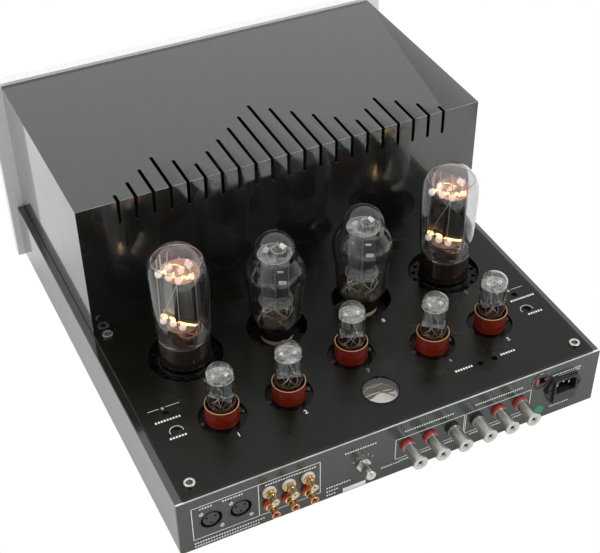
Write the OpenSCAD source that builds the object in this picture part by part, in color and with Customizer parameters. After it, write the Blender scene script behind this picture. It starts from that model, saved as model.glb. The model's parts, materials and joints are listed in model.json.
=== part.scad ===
// Stereo tube amplifier: a flat sheet-metal chassis carrying nine tubes in front of its
// rear panel, a slotted cover over the transformers and a thick front panel.
// Millimetres. X to the right seen from the front, Y to the back, Z up from the floor.

/* [Chassis] */
// Width over the two side walls
case_width = 450; // [446:1:456]
// Depth from the back of the front panel to the rear face
case_depth = 486; // [482:1:496]
// Height of the walls above the bottom of the chassis
wall_height = 66.8; // [66:0.2:70]
// Thickness of the folded sheet metal
sheet = 2; // [1.6:0.1:2.2]
// Width of the lips folded in along the side walls
lip_width = 14; // [11:0.5:15]
// Thickness of the deck plate that carries the tubes
deck_thickness = 3; // [2.6:0.1:3.4]
// Strip of each side wall that the deck leaves free
deck_inset = 7.8; // [7:0.1:9]

/* [Transformer cover] */
// Depth of the cover from the front panel back
cover_depth = 245.6; // [242:0.2:250]
// Height of the cover above the deck
cover_height = 150.8; // [148:0.2:156]
// Distance between neighbouring vent slots
slot_pitch = 17.55; // [17:0.05:17.8]
// Width of a vent slot
slot_width = 3.5; // [3:0.1:4]
// Length of the shortest slot on top of the cover
slot_first = 11; // [9:0.5:13]
// Extra length of each longer slot
slot_step = 14.6; // [13:0.2:15.2]
// Length of every slot down the rear face
slot_drop = 26.5; // [22:0.5:32]

/* [Front panel] */
// Overhang of the front panel beyond each side wall
panel_overhang = 8; // [6:0.5:10]
// Thickness of the front panel
panel_thickness = 12; // [10:0.5:14]
// Height of the front panel above the cover
panel_rise = 3.4; // [2:0.2:5]
// Diameter of the two front knobs
knob_diameter = 50; // [40:1:56]
// Length of the front knobs
knob_length = 24; // [20:1:28]
// Distance of each knob from the middle of the panel
knob_offset = 130; // [110:1:150]
// Height of the knob shafts above the bottom of the chassis
knob_height = 112; // [104:1:120]
// Diameter of the power button
button_diameter = 16; // [12:0.5:20]

/* [Feet] */
// Diameter of a foot
foot_diameter = 44; // [36:1:48]
// Height of a foot
foot_height = 16; // [12:0.5:20]
// Distance of each foot axis from the side wall and from the ends
foot_inset = 48; // [42:1:60]

/* [Power tubes] */
// Distance of the power tubes from the middle, in a case of the usual width
power_x = 146.5; // [145:0.5:149]
// Distance of the power tubes from the rear face
power_y = 172.5; // [169:0.5:176]
// Diameter of the power tube base
power_base = 50.4; // [48:0.1:51]
// Height of the power tube base above the deck
power_base_height = 30; // [27:0.5:33]
// Diameter of the power tube glass
power_glass = 58; // [54:0.5:60]
// Height of the power tube glass above the deck
power_top = 134.5; // [130:0.5:139]

/* [Driver tubes] */
// Distance of the driver tubes from the middle, in a case of the usual width
driver_x = 48; // [46:0.5:50]
// Distance of the driver tubes from the rear face
driver_y = 172.6; // [169:0.5:176]
// Diameter of the driver tube base
driver_base = 34.8; // [33:0.1:36]
// Widest diameter of the driver tube glass
driver_glass = 60.6; // [57:0.2:61]
// Height of the driver tube glass above the deck
driver_top = 116; // [112:0.5:122]

/* [Small tubes] */
// Diameter of the small tube bases
small_base = 32.6; // [31:0.1:33.4]
// Height of the small tube bases above their sockets
small_base_height = 20.8; // [19:0.2:24]
// Diameter of the small tube glass
small_glass = 27; // [25:0.5:29]
// Height of the small tube glass above the deck
small_top = 64; // [60:0.5:68]
// Distance of the outer small tubes from the middle, in a case of the usual width
outer_x = 146.2; // [145:0.2:149]
// Distance of the inner small tubes from the middle, in a case of the usual width
inner_x = 78.4; // [77:0.2:81]

/* [Rear panel] */
// Height of the loudspeaker posts above the bottom of the chassis
post_height = 34; // [32:0.5:36]
// Distance between neighbouring posts of one channel
post_pitch = 24.8; // [23.5:0.1:25]
// Diameter of the flange at the end of a post nut
post_flange = 15.3; // [14:0.1:16]
// How far the posts stand out of the rear panel
post_reach = 26.5; // [25:0.5:30]
// Distance between neighbouring phono jacks
rca_pitch = 19.5; // [19:0.1:20]
// Diameter of the barrel of a phono jack
rca_barrel = 8.3; // [8.2:0.05:8.5]
// How far the phono jacks stand out of the rear panel
rca_reach = 15.5; // [14:0.5:17]
// Distance between the two three-pin sockets
xlr_pitch = 28.8; // [27:0.2:30]
// Diameter of the opening of a three-pin socket
xlr_opening = 20.8; // [20:0.1:21.4]
// Distance between the screws of the mains inlet
inlet_screws = 34.5; // [34:0.1:35]
// Diameter of the bias selector knob
bias_knob_diameter = 10.6; // [9:0.2:12]

/* [Meter and deck fittings] */
// Diameter of the meter rim
meter_bezel = 38.4; // [38:0.1:40]
// Diameter of the cage bushes
bush_diameter = 10.8; // [10:0.1:11.2]
// Diameter of the bore of a cage bush
bush_bore = 6; // [5:0.1:6.4]

/* [Hidden] */
$fn = 48;
cut = 0.5;
run_gap = 0.05;
slide_gap = 0.1;
loose_gap = 0.3;
deck_top = wall_height + deck_thickness;
cover_top = deck_top + cover_height;
panel_height = cover_top + panel_rise;
deck_width = case_width - 2 * deck_inset;
deck_half = deck_width / 2;
usual_width = 450;
spread = case_width / usual_width;
deck_rear = 1.5;
cover_sheet = 2;
cover_rear = cover_depth - case_depth;
knob_gap = 1;
left_posts = -109.4;
right_posts = -32.4;
rear_y = (case_depth + panel_thickness + knob_gap + knob_length - post_reach) / 2;
panel_front = -case_depth - panel_thickness;

power_place = [spread * power_x, -power_y];
driver_place = [spread * driver_x, -driver_y];
power_opening = 75;
power_plate_radius = 42;
power_vent_radius = 31.6;
power_vent = 4.5;
power_plate_top = 65.3;
power_seat = 60;
power_floor = 47;
power_rim = 38.5;
collar_thickness = 0.8;
collar_top = 73.3;
collar_bead = [1.6, 1.7];
driver_opening = 62;
driver_plate_radius = 36;
driver_plate_top = 57;
driver_rim = 32.5;
driver_vent_radius = 25;
driver_socket_radius = 16.5;
driver_socket_top = 62;
driver_floor = 46;
driver_base_top = 5;
small_opening = 47;
small_plate_radius = 28;
small_socket_radius = 17;
small_screw_radius = 20;
vent_hole = 4;
socket_plate = 2;
socket_floor = 52;
pin_gap = 0.1;
glass_wall = 1.2;
outer_y = -80.5;
inner_y = -79.2;
middle_y = -102.5;
small_places = [
  [spread * outer_x, outer_y], [spread * inner_x, inner_y], [0, middle_y],
  [-spread * inner_x, inner_y], [-spread * outer_x, outer_y]
];

screw_head = 3.2;
screw_head_height = 1.8;
screw_shank = 1.5;
screw_length = 7;
slim_head = 2.5;
wide_head = 3.9;
cover_screw_inset = 7.7;
cover_screw_x = deck_half - cover_screw_inset;
cover_screw_rise = 19.2;
cover_screw_z = deck_top + cover_screw_rise;
xlr_screw_x = 9.5;
xlr_screw_z = 12;

power_pins = [10, 4, 2.4, 10];
driver_pins = [8, 4, 2.2, 12];
driver_dome = 21.5;
small_pins = [8.7, 8, 1.2, 11];
small_key = [4, 13];
button_height = 34;
transformer_inset = 114.6;
transformer_y = cover_rear - transformer_inset;
power_core = [124, 84, 104];
power_coil = [84, 128, 68];
output_x = 142;
output_core = [96, 76, 88];
output_coil = [64, 112, 56];
board = [216, 90];
board_sheet = 1.6;
board_inset = 129.6;
board_y = cover_rear - board_inset;
board_bottom = 10;
board_post = [8, 3.5];
capacitor_radius = 17;
capacitor_height = 44;
capacitor_pitch = 44;

hum_inset = 24.9;
bias_inset = 25.6;
hum_place = [deck_half - hum_inset, -106.3];
bias_place = [deck_half - bias_inset, -81.3];
hum_hole = 6.8;
bias_hole = 8.6;
adjuster_drop = 2.4;
trimmer = 16;
switch_width = 9;
switch_body = 14;
adjuster_radius = 3;
button_x = 107;
button_pitch = 15.8;
button_y = -34;
button_places = [[-spread * button_x, button_y], [-spread * button_x - button_pitch, button_y]];
deck_button_radius = 2.7;
button_travel = 1.5;
switch_depth = 8;
pot_depth = 10.8;
bush_inset = 12.2;
bush_x = deck_half - bush_inset;
bush_rear = -16.5;
bush_front = cover_rear + 6.4;
bush_places = [[bush_x, bush_rear], [-bush_x, bush_rear], [bush_x, bush_front], [-bush_x, bush_front]];
bush_rise = 2.5;
bush_shank_radius = 4;
bush_bottom = 56;
bush_depth = 12;

meter_place = [-2, -45];
meter_radius = 18.7;
meter_floor = 60;
meter_pocket = 17;
lens_radius = 17.8;
lens_bottom = 68.2;
lens_sheet = 1.2;
meter_rise = 0.6;
meter_bottom = 46;
card = 0.8;
needle_pivot = -8;
needle_length = 19;
needle_rest = 40;
pivot_radius = 0.8;

xlr_height = 33;
xlr_inset = 46.2;
xlr_middle = case_width / 2 - xlr_inset;
xlr_body = 11.6;
xlr_proud = 0.2;
xlr_depth = 24;
xlr_hollow = 16;
xlr_insert = 7.9;
xlr_recess = 0.8;
xlr_pin_circle = 4.9;
xlr_pin = 1.3;
xlr_flange = 2.2;
xlr_width = 26;
xlr_rise = 31;
rca_from_xlr = 61.8;
rca_middle = xlr_middle - rca_from_xlr;
rca_rows = [41.5, 24.5];
rca_washer = 13.4;
rca_washer_height = 2.5;
rca_core = 6.8;
rca_tail = 9;
rca_mouth = 5;
rca_shoulder = 4.5;
rca_neck = 6;
rca_flange = 10.6;
bias_x = 40;
bias_height = 31;
bias_body = [12, 16];
bias_nut = [7.9, 2.5];
bias_knob_foot = 3.4;
inlet_inset = 40.4;
inlet_x = inlet_inset - case_width / 2;
selector_from_inlet = 27.9;
selector_x = inlet_x + selector_from_inlet;
selector_height = 53.7;
selector_radius = 10.4;
selector_body = 8.8;
selector_travel = 8.2;
inlet_height = 35.3;
inlet_body = [26, 29];
inlet_depth = 24;
inlet_flange = 3;
inlet_face = [26.6, 30.4, 6];
inlet_tip = 21.4;
inlet_corner = [14.5, 16];
cavity_lift = 5.5;
cavity_width = 24;
cavity_rise = 16.6;
cavity_depth = 17;
cavity_chamfer = [4, 3];
blade = [2, 4];
blade_length = 29;
blade_tail = 4;
blade_places = [[-7, 1.8], [7, 1.8], [0, -2.2]];
slider_width = 3.2;
spigot_radius = 5;
bush_radius = 4.5;
stud_radius = 3.2;
stud_tail = 20;
banana_depth = 18;
collar_length = 3;
nut_radius = 6.2;
nut_washer = [6.5, 1.2];
nut_flange = 2.5;
nut_chamfer = 0.7;
shaft_depth = 12;
bias_knob_length = 14.6;
stem_radius = 2.5;
stem_depth = 6;
stem_travel = 2.5;
banana_radius = 2;
post_collar = 15.5;
post_places = [
  spread * left_posts - post_pitch, spread * left_posts, spread * left_posts + post_pitch,
  spread * right_posts - post_pitch, spread * right_posts, spread * right_posts + post_pitch
];
slot_ranks = [1, 2, 3, 4, 3, 2, 3, 4, 5, 6, 7, 6, 5, 4, 3, 2, 3, 4, 3, 2, 1];

// Places its children in the frame of the chassis: Y 0 at the rear face, Z 0 at its bottom
module in_case() {
  translate([0, rear_y, foot_height]) children();
}

// Places its children on the deck or below it, at a place [x, y] and a height
module on_deck(place, z = 0) {
  in_case() translate([place[0], place[1], z]) children();
}

// Turns its children to stand out of the rear face
module on_rear(x, z, y = 0) {
  in_case() translate([x, y, z]) rotate([-90, 0, 0]) children();
}

// Turns its children to stand out of the front panel
module on_front(x, z, y = 0) {
  in_case() translate([x, panel_front - y, z]) rotate([90, 0, 0]) children();
}

// A block centred in X and Y with its foot at z 0
module block(width, depth, height) {
  translate([-width / 2, -depth / 2, 0]) cube([width, depth, height]);
}

// A ring with its foot at z 0
module ring(outer, inner, height) {
  difference() {
    cylinder(r = outer, h = height);
    translate([0, 0, -cut]) cylinder(r = inner, h = height + 2 * cut);
  }
}

// A flat circle of holes around a place
module hole_circle(place, radius, count, hole) {
  for (k = [0 : count - 1])
    translate([place[0], place[1]]) rotate((k + 0.5) * 360 / count)
      translate([radius, 0]) circle(d = hole);
}

module side_walls() {
  half = case_width / 2;
  color([0.16, 0.17, 0.17])
    for (side = [0, 1])
      mirror([side, 0, 0])
        in_case() translate([0, -sheet, 0]) rotate([90, 0, 0])
          linear_extrude(case_depth - sheet)
            polygon([
              [half, 0], [half, wall_height], [half - lip_width, wall_height],
              [half - lip_width, wall_height - sheet], [half - sheet, wall_height - sheet],
              [half - sheet, 2 * sheet], [half - lip_width, 2 * sheet],
              [half - lip_width, sheet], [half - sheet, sheet], [half - sheet, 0]
            ]);
}

module rear_panel() {
  color([0.37, 0.39, 0.38])
    in_case() rotate([90, 0, 0]) linear_extrude(sheet)
      difference() {
        translate([-case_width / 2, 0]) square([case_width, wall_height]);
        for (side = [-0.5, 0.5])
          translate([xlr_middle + side * xlr_pitch, xlr_height]) circle(r = xlr_body + slide_gap);
        for (k = [-1 : 1], z = rca_rows)
          translate([rca_middle + k * rca_pitch, z]) circle(r = spigot_radius + slide_gap);
        for (x = post_places)
          translate([x, post_height]) circle(r = spigot_radius + slide_gap);
        translate([bias_x, bias_height]) circle(r = bush_radius + slide_gap);
        translate([selector_x, selector_height]) circle(r = selector_body + slide_gap);
        translate([inlet_x - inlet_body[0] / 2 - slide_gap, inlet_height - inlet_body[1] / 2 - slide_gap])
          square([inlet_body[0] + 2 * slide_gap, inlet_body[1] + 2 * slide_gap]);
        for (side = [-1, 1]) {
          translate([inlet_x + side * inlet_screws / 2, inlet_height])
            circle(r = screw_shank + slide_gap);
          for (end = [-1, 1])
            translate([xlr_middle + side * xlr_pitch / 2 + end * xlr_screw_x,
                xlr_height + end * xlr_screw_z])
              circle(r = screw_shank + slide_gap);
        }
      }
}

module bottom_plate() {
  color([0.3, 0.31, 0.31])
    on_deck([0, -(case_depth + sheet) / 2])
      block(case_width - 2 * sheet - 2 * slide_gap, case_depth - sheet, sheet);
}

module deck_plate() {
  color([0.12, 0.12, 0.11])
    in_case() translate([0, 0, wall_height]) linear_extrude(deck_thickness)
      difference() {
        translate([-deck_width / 2, -case_depth])
          square([deck_width, case_depth - deck_rear]);
        for (side = [-1, 1]) {
          translate([side * power_place[0], power_place[1]]) circle(d = power_opening);
          translate([side * driver_place[0], driver_place[1]]) circle(d = driver_opening);
          translate([side * hum_place[0], hum_place[1]]) circle(d = hum_hole);
          translate([side * bias_place[0], bias_place[1]]) circle(d = bias_hole);
        }
        for (place = small_places)
          translate(place) circle(d = small_opening);
        for (place = bush_places)
          translate(place) circle(r = bush_shank_radius + slide_gap);
        for (place = button_places)
          translate(place) circle(r = deck_button_radius + loose_gap);
        translate(meter_place) circle(r = meter_radius + slide_gap);
      }
}

module transformer_cover() {
  rows = len(slot_ranks);
  color([0.2, 0.21, 0.21])
    in_case() difference() {
      translate([-deck_width / 2, -case_depth, deck_top])
        cube([deck_width, cover_depth, cover_height]);
      translate([-deck_width / 2 + cover_sheet, -case_depth - cut, deck_top - cut])
        cube([deck_width - 2 * cover_sheet, cover_depth - cover_sheet + cut,
          cover_height - cover_sheet + cut]);
      for (k = [0 : rows - 1]) {
        slot_x = ((rows - 1) / 2 - k) * slot_pitch;
        slot_length = slot_first + slot_step * (slot_ranks[k] - 1);
        translate([slot_x, cover_rear, cover_top - cover_sheet - cut])
          linear_extrude(cover_sheet + 2 * cut) {
            translate([-slot_width / 2, slot_width / 2 - slot_length])
              square([slot_width, slot_length]);
            translate([0, slot_width / 2 - slot_length]) circle(d = slot_width);
          }
        translate([slot_x, cover_rear + cut, cover_top]) rotate([90, 0, 0])
          linear_extrude(cover_sheet + 2 * cut) {
            translate([-slot_width / 2, slot_width / 2 - slot_drop])
              square([slot_width, slot_drop]);
            translate([0, slot_width / 2 - slot_drop]) circle(d = slot_width);
          }
      }
      for (side = [-1, 1])
        translate([side * cover_screw_x, cover_rear + cut, cover_screw_z]) rotate([90, 0, 0])
          cylinder(r = screw_shank + slide_gap, h = cover_sheet + 2 * cut);
    }
}

module front_panel() {
  width = case_width + 2 * panel_overhang;
  color([0.75, 0.76, 0.77])
    on_front(0, 0, -panel_thickness) linear_extrude(panel_thickness)
      difference() {
        translate([-width / 2, 0]) square([width, panel_height]);
        for (side = [-1, 1])
          translate([side * knob_offset, knob_height]) circle(r = bush_radius + slide_gap);
        translate([0, button_height]) circle(d = button_diameter + 2 * loose_gap);
      }
}

module feet() {
  color([0.1, 0.1, 0.1])
    for (side = [-1, 1], y = [-foot_inset, foot_inset - case_depth])
      on_deck([side * (case_width / 2 - foot_inset), y], -foot_height)
        difference() {
          union() {
            cylinder(d1 = foot_diameter - 4, d2 = foot_diameter, h = 2);
            translate([0, 0, 2]) cylinder(d = foot_diameter, h = foot_height - 2);
          }
          translate([0, 0, -cut]) cylinder(r = 6, h = 6 + cut);
        }
}

// One screw with a domed head standing on z 0
module screw(head = screw_head) {
  rotate_extrude()
    polygon([
      [0, 0], [head, 0], [head, screw_head_height * 0.45],
      [head * 0.8, screw_head_height * 0.85], [head * 0.4, screw_head_height],
      [0, screw_head_height]
    ]);
  translate([0, 0, -screw_length]) cylinder(r = screw_shank, h = screw_length + slide_gap);
}

module panel_screws() {
  color([0.2, 0.2, 0.2]) {
    for (side = [-1, 1]) {
      on_rear(side * cover_screw_x, cover_screw_z, cover_rear) screw(wide_head);
      on_rear(inlet_x + side * inlet_screws / 2, inlet_height, inlet_flange) screw(slim_head);
      for (end = [-1, 1])
        on_rear(xlr_middle + side * xlr_pitch / 2 + end * xlr_screw_x,
            xlr_height + end * xlr_screw_z)
          screw(slim_head);
    }
    for (place = small_places, side = [-1, 1])
      on_deck([place[0] + side * small_screw_radius, place[1]], wall_height) screw();
  }
}

// A laminated core with its coil, standing on the deck under the cover
module transformer(core, coil) {
  block(core[0], core[1], core[2]);
  translate([0, 0, (core[2] - coil[2]) / 2]) block(coil[0], coil[1], coil[2]);
}

module power_transformer() {
  color([0.35, 0.36, 0.38])
    on_deck([0, transformer_y], deck_top) transformer(power_core, power_coil);
}

module output_transformers() {
  color([0.35, 0.36, 0.38])
    for (side = [-1, 1])
      on_deck([side * spread * output_x, transformer_y], deck_top)
        transformer(output_core, output_coil);
}

// Holes for tube pins, their mouths at a height; a set is [circle, count, pin, length]
module pin_holes(set, height) {
  depth = set[3] + 1;
  for (k = [0 : set[1] - 1])
    rotate((k + 0.5) * 360 / set[1])
      translate([set[0], 0, height - depth]) cylinder(r = set[2] + pin_gap, h = depth + cut);
}

// The pins of a tube, hanging from z 0
module pins(set) {
  for (k = [0 : set[1] - 1])
    rotate((k + 0.5) * 360 / set[1])
      translate([set[0], 0, -set[3]]) cylinder(r = set[2], h = set[3]);
}

module power_tube_sockets() {
  bore = power_base / 2 + loose_gap;
  shell = bore + collar_thickness;
  color([0.1, 0.1, 0.1])
    for (side = [-1, 1])
      on_deck([side * power_place[0], power_place[1]]) {
        difference() {
          union() {
            translate([0, 0, power_plate_top - socket_plate])
              cylinder(r = power_plate_radius, h = socket_plate);
            translate([0, 0, power_floor]) cylinder(r = shell, h = collar_top - power_floor);
            translate([0, 0, power_plate_top - cut])
              cylinder(r = bore + collar_bead[0], h = collar_bead[1] + cut);
          }
          translate([0, 0, power_seat]) cylinder(r = bore, h = collar_top);
          translate([0, 0, power_plate_top - socket_plate - cut])
            linear_extrude(socket_plate + 2 * cut)
              hole_circle([0, 0], power_vent_radius, 18, power_vent);
          pin_holes(power_pins, power_seat);
        }
        translate([0, 0, power_plate_top - cut])
          ring(power_plate_radius, power_rim, wall_height - power_plate_top + cut);
      }
}

module driver_tube_sockets() {
  color([0.85, 0.8, 0.7])
    for (side = [-1, 1])
      on_deck([side * driver_place[0], driver_place[1]]) {
        difference() {
          union() {
            translate([0, 0, driver_plate_top - socket_plate])
              cylinder(r = driver_plate_radius, h = socket_plate);
            translate([0, 0, driver_floor])
              cylinder(r = driver_socket_radius, h = driver_socket_top - driver_floor);
          }
          translate([0, 0, driver_plate_top - socket_plate - cut])
            linear_extrude(socket_plate + 2 * cut)
              hole_circle([0, 0], driver_vent_radius, 12, vent_hole);
          pin_holes(driver_pins, driver_socket_top);
        }
        translate([0, 0, driver_plate_top - cut])
          ring(driver_plate_radius, driver_rim, wall_height - driver_plate_top + cut);
      }
}

module small_tube_sockets() {
  color([0.2, 0.2, 0.2])
    for (place = small_places)
      on_deck(place)
        difference() {
          union() {
            translate([0, 0, wall_height - socket_plate])
              cylinder(r = small_plate_radius, h = socket_plate);
            translate([0, 0, socket_floor])
              cylinder(r = small_socket_radius, h = wall_height - socket_floor);
          }
          pin_holes(small_pins, wall_height);
          translate([0, 0, wall_height - small_key[1] - 1])
            cylinder(r = small_key[0] + pin_gap, h = small_key[1] + 1 + cut);
          for (side = [-1, 1])
            translate([side * small_screw_radius, 0, wall_height - socket_plate - cut])
              cylinder(r = screw_shank + slide_gap, h = socket_plate + 2 * cut);
        }
}

module cage_sockets() {
  color([0.7, 0.7, 0.68])
    for (place = bush_places)
      on_deck(place)
        difference() {
          union() {
            translate([0, 0, deck_top]) cylinder(d = bush_diameter, h = bush_rise);
            translate([0, 0, bush_bottom])
              cylinder(r = bush_shank_radius, h = deck_top - bush_bottom);
          }
          translate([0, 0, deck_top + bush_rise - bush_depth])
            cylinder(d = bush_bore, h = bush_depth + cut);
        }
}

module xlr_sockets() {
  color([0.15, 0.15, 0.15])
    for (side = [-1, 1])
      on_rear(xlr_middle + side * xlr_pitch / 2, xlr_height)
        difference() {
          union() {
            translate([0, 0, -sheet - xlr_flange]) block(xlr_width, xlr_rise, xlr_flange);
            translate([0, 0, -xlr_depth]) cylinder(r = xlr_body, h = xlr_depth + xlr_proud);
          }
          translate([0, 0, -xlr_hollow]) ring(xlr_opening / 2, xlr_insert, xlr_hollow + cut);
          translate([0, 0, -xlr_recess]) cylinder(r = xlr_insert + cut, h = xlr_recess + cut);
          for (angle = [90, 210, 330])
            rotate(angle) translate([xlr_pin_circle, 0, -xlr_hollow])
              cylinder(r = xlr_pin, h = xlr_hollow + cut);
          for (end = [-1, 1])
            translate([end * xlr_screw_x, -end * xlr_screw_z, -sheet - xlr_flange - cut])
              cylinder(r = screw_shank + slide_gap, h = xlr_flange + 2 * cut);
        }
}

module rca_jacks() {
  color([0.85, 0.68, 0.35])
    for (k = [-1 : 1], z = rca_rows)
      on_rear(rca_middle + k * rca_pitch, z)
        difference() {
          union() {
            translate([0, 0, -rca_tail]) cylinder(d = rca_neck, h = rca_tail + rca_shoulder);
            translate([0, 0, rca_washer_height])
              cylinder(d = rca_flange, h = rca_shoulder - rca_washer_height);
            translate([0, 0, rca_shoulder]) cylinder(d = rca_barrel, h = rca_reach - rca_shoulder);
            translate([0, 0, -sheet - 3]) cylinder(r = 6.2, h = 3);
          }
          translate([0, 0, rca_mouth]) cylinder(d = rca_core, h = rca_reach - rca_mouth + cut);
        }
}

module rca_insulators() {
  for (k = [-1 : 1], row = [0, 1])
    color(row == 0 ? [0.9, 0.9, 0.88] : [0.7, 0.1, 0.1])
      on_rear(rca_middle + k * rca_pitch, rca_rows[row]) {
        ring(rca_washer / 2, rca_neck / 2 + slide_gap, rca_washer_height);
        translate([0, 0, -sheet])
          ring(spigot_radius, rca_neck / 2 + slide_gap, sheet + slide_gap);
        translate([0, 0, rca_mouth])
          difference() {
            cylinder(r = rca_core / 2 - run_gap, h = rca_reach - rca_mouth - 0.6);
            translate([0, 0, 1]) cylinder(r = 1.65, h = rca_reach);
          }
      }
}

module binding_posts() {
  color([0.8, 0.8, 0.78])
    for (x = post_places)
      on_rear(x, post_height)
        difference() {
          union() {
            translate([0, 0, -stud_tail])
              cylinder(r = stud_radius, h = stud_tail + post_reach - 1);
            translate([0, 0, -sheet - 3]) cylinder(r = 6, h = 3);
          }
          translate([0, 0, post_reach - 1 - banana_depth])
            cylinder(r = banana_radius, h = banana_depth + cut);
        }
}

module post_collars() {
  for (k = [0 : 5])
    color(k == 2 || k == 3 ? [0.08, 0.08, 0.08] : [0.7, 0.08, 0.08])
      on_rear(post_places[k], post_height) {
        ring(post_collar / 2, stud_radius + run_gap, collar_length);
        translate([0, 0, -sheet])
          ring(spigot_radius, stud_radius + run_gap, sheet + slide_gap);
      }
}

// A prism with six sides, its foot at z 0
module hexagon(radius, height) {
  linear_extrude(height) polygon([for (k = [0 : 5]) radius * [cos(60 * k), sin(60 * k)]]);
}

module bias_switch() {
  color([0.7, 0.7, 0.68])
    on_rear(bias_x, bias_height)
      difference() {
        union() {
          translate([0, 0, -sheet - bias_body[1]]) cylinder(r = bias_body[0], h = bias_body[1]);
          translate([0, 0, -sheet - cut])
            cylinder(r = bush_radius, h = sheet + cut + bias_knob_foot - 0.4);
          hexagon(bias_nut[0], bias_nut[1]);
        }
        translate([0, 0, -sheet - shaft_depth])
          cylinder(r = adjuster_radius + run_gap, h = sheet + 2 * shaft_depth);
      }
}

// Outline of the flange of the mains inlet
module inlet_outline() {
  x = inlet_corner[0];
  y = inlet_corner[1];
  polygon([[-inlet_tip, 0], [-x, y], [x, y], [inlet_tip, 0], [x, -y], [-x, -y]]);
}

// Outline of the plug cavity, two of its corners cut off
module cavity_outline() {
  half = cavity_width / 2;
  rise = cavity_rise / 2;
  x = half - cavity_chamfer[0];
  y = rise - cavity_chamfer[1];
  polygon([[-half, rise], [-half, -y], [-x, -rise], [x, -rise], [half, -y], [half, rise]]);
}

module mains_inlet() {
  color([0.06, 0.06, 0.06])
    on_rear(inlet_x, inlet_height)
      difference() {
        union() {
          linear_extrude(inlet_flange) inlet_outline();
          block(inlet_face[0], inlet_face[1], inlet_face[2]);
          translate([0, 0, -inlet_depth])
            block(inlet_body[0], inlet_body[1], inlet_depth + cut);
        }
        translate([0, -cavity_lift, inlet_face[2] - cavity_depth])
          linear_extrude(cavity_depth + cut) cavity_outline();
        for (place = blade_places)
          translate([place[0], place[1] - cavity_lift, -inlet_depth - cut])
            block(blade[0] + 2 * run_gap, blade[1] + 2 * run_gap, inlet_depth);
        for (side = [-1, 1])
          translate([side * inlet_screws / 2, 0, -cut])
            cylinder(r = screw_shank + slide_gap, h = inlet_flange + 2 * cut);
      }
}

module inlet_pins() {
  color([0.85, 0.85, 0.82])
    for (place = blade_places)
      on_rear(inlet_x + place[0], inlet_height + cavity_lift - place[1], -inlet_depth - blade_tail)
        block(blade[0], blade[1], blade_length);
}

module voltage_selector() {
  color([0.1, 0.1, 0.1])
    on_rear(selector_x, selector_height)
      difference() {
        union() {
          cylinder(r = selector_radius, h = 1);
          translate([0, 0, -14]) cylinder(r = selector_body, h = 14);
        }
        translate([0, 0, 0.2]) cylinder(r = selector_radius - 1.2, h = 1);
        translate([0, 0, -5])
          block(selector_travel + slider_width + 2 * loose_gap, 8, 6);
      }
}

module voltage_slider() {
  color([0.85, 0.15, 0.12])
    on_rear(selector_x + selector_travel / 2, selector_height, -5)
      block(slider_width, 7.6, 5.8);
}

module meter_case() {
  color([0.05, 0.05, 0.05])
    on_deck(meter_place)
      difference() {
        union() {
          translate([0, 0, deck_top]) cylinder(d = meter_bezel, h = meter_rise);
          translate([0, 0, meter_bottom]) cylinder(r = meter_radius, h = deck_top - meter_bottom);
        }
        translate([0, 0, meter_floor]) cylinder(r = meter_pocket, h = deck_top);
        translate([0, 0, lens_bottom]) cylinder(r = lens_radius + slide_gap, h = deck_top);
      }
}

module meter_scale() {
  color([0.92, 0.92, 0.88])
    on_deck(meter_place, meter_floor)
      difference() {
        cylinder(r = meter_pocket - slide_gap, h = card);
        translate([0, needle_pivot, -cut]) cylinder(r = pivot_radius + run_gap, h = card + 2 * cut);
      }
}

module meter_lens() {
  color([0.8, 0.85, 0.9, 0.4])
    on_deck(meter_place, lens_bottom) cylinder(r = lens_radius, h = lens_sheet);
}

module meter_needle() {
  color([0.05, 0.05, 0.05])
    on_deck([meter_place[0], meter_place[1] + needle_pivot], meter_floor) {
      cylinder(r = pivot_radius, h = 3);
      translate([0, 0, card + 1]) {
        cylinder(r = 2, h = 1.2);
        rotate(needle_rest) translate([-0.4, 0, 0]) cube([0.8, needle_length, 0.6]);
      }
    }
}

module supply_board() {
  color([0.1, 0.35, 0.2])
    on_deck([0, board_y]) {
      translate([0, 0, board_bottom]) block(board[0], board[1], board_sheet);
      for (x = [-1, 1], y = [-1, 1])
        translate([x * (board[0] / 2 - board_post[0]), y * (board[1] / 2 - board_post[0]), sheet])
          cylinder(r = board_post[1], h = board_bottom - sheet + cut);
    }
}

module supply_capacitors() {
  color([0.15, 0.2, 0.45])
    for (k = [-1.5 : 1.5])
      on_deck([k * capacitor_pitch, board_y], board_bottom + board_sheet)
        cylinder(r = capacitor_radius, h = capacitor_height);
}

module trim_pots() {
  color([0.2, 0.3, 0.6])
    for (side = [-1, 1], place = [hum_place, bias_place])
      on_deck([side * place[0], place[1]], wall_height - trimmer)
        difference() {
          block(trimmer, trimmer, trimmer);
          translate([0, 0, trimmer - pot_depth])
            cylinder(r = adjuster_radius + run_gap, h = pot_depth + cut);
        }
}

// A slotted shaft turned with a screwdriver
module adjuster(place) {
  height = deck_top - adjuster_drop - wall_height + pot_depth;
  color([0.75, 0.75, 0.72])
    on_deck(place, wall_height - pot_depth)
      difference() {
        cylinder(r = adjuster_radius, h = height);
        translate([0, 0, height - 1.2]) block(2 * adjuster_radius + 1, 1, 2);
      }
}

module hum_adjuster_left() {
  adjuster([-hum_place[0], hum_place[1]]);
}

module hum_adjuster_right() {
  adjuster(hum_place);
}

module bias_adjuster_left() {
  adjuster([-bias_place[0], bias_place[1]]);
}

module bias_adjuster_right() {
  adjuster(bias_place);
}

module deck_switches() {
  color([0.2, 0.2, 0.2])
    for (place = button_places)
      on_deck(place, wall_height - switch_body)
        difference() {
          block(switch_width, switch_width, switch_body);
          translate([0, 0, switch_body - switch_depth])
            cylinder(r = deck_button_radius + run_gap, h = switch_depth + cut);
        }
}

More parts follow.
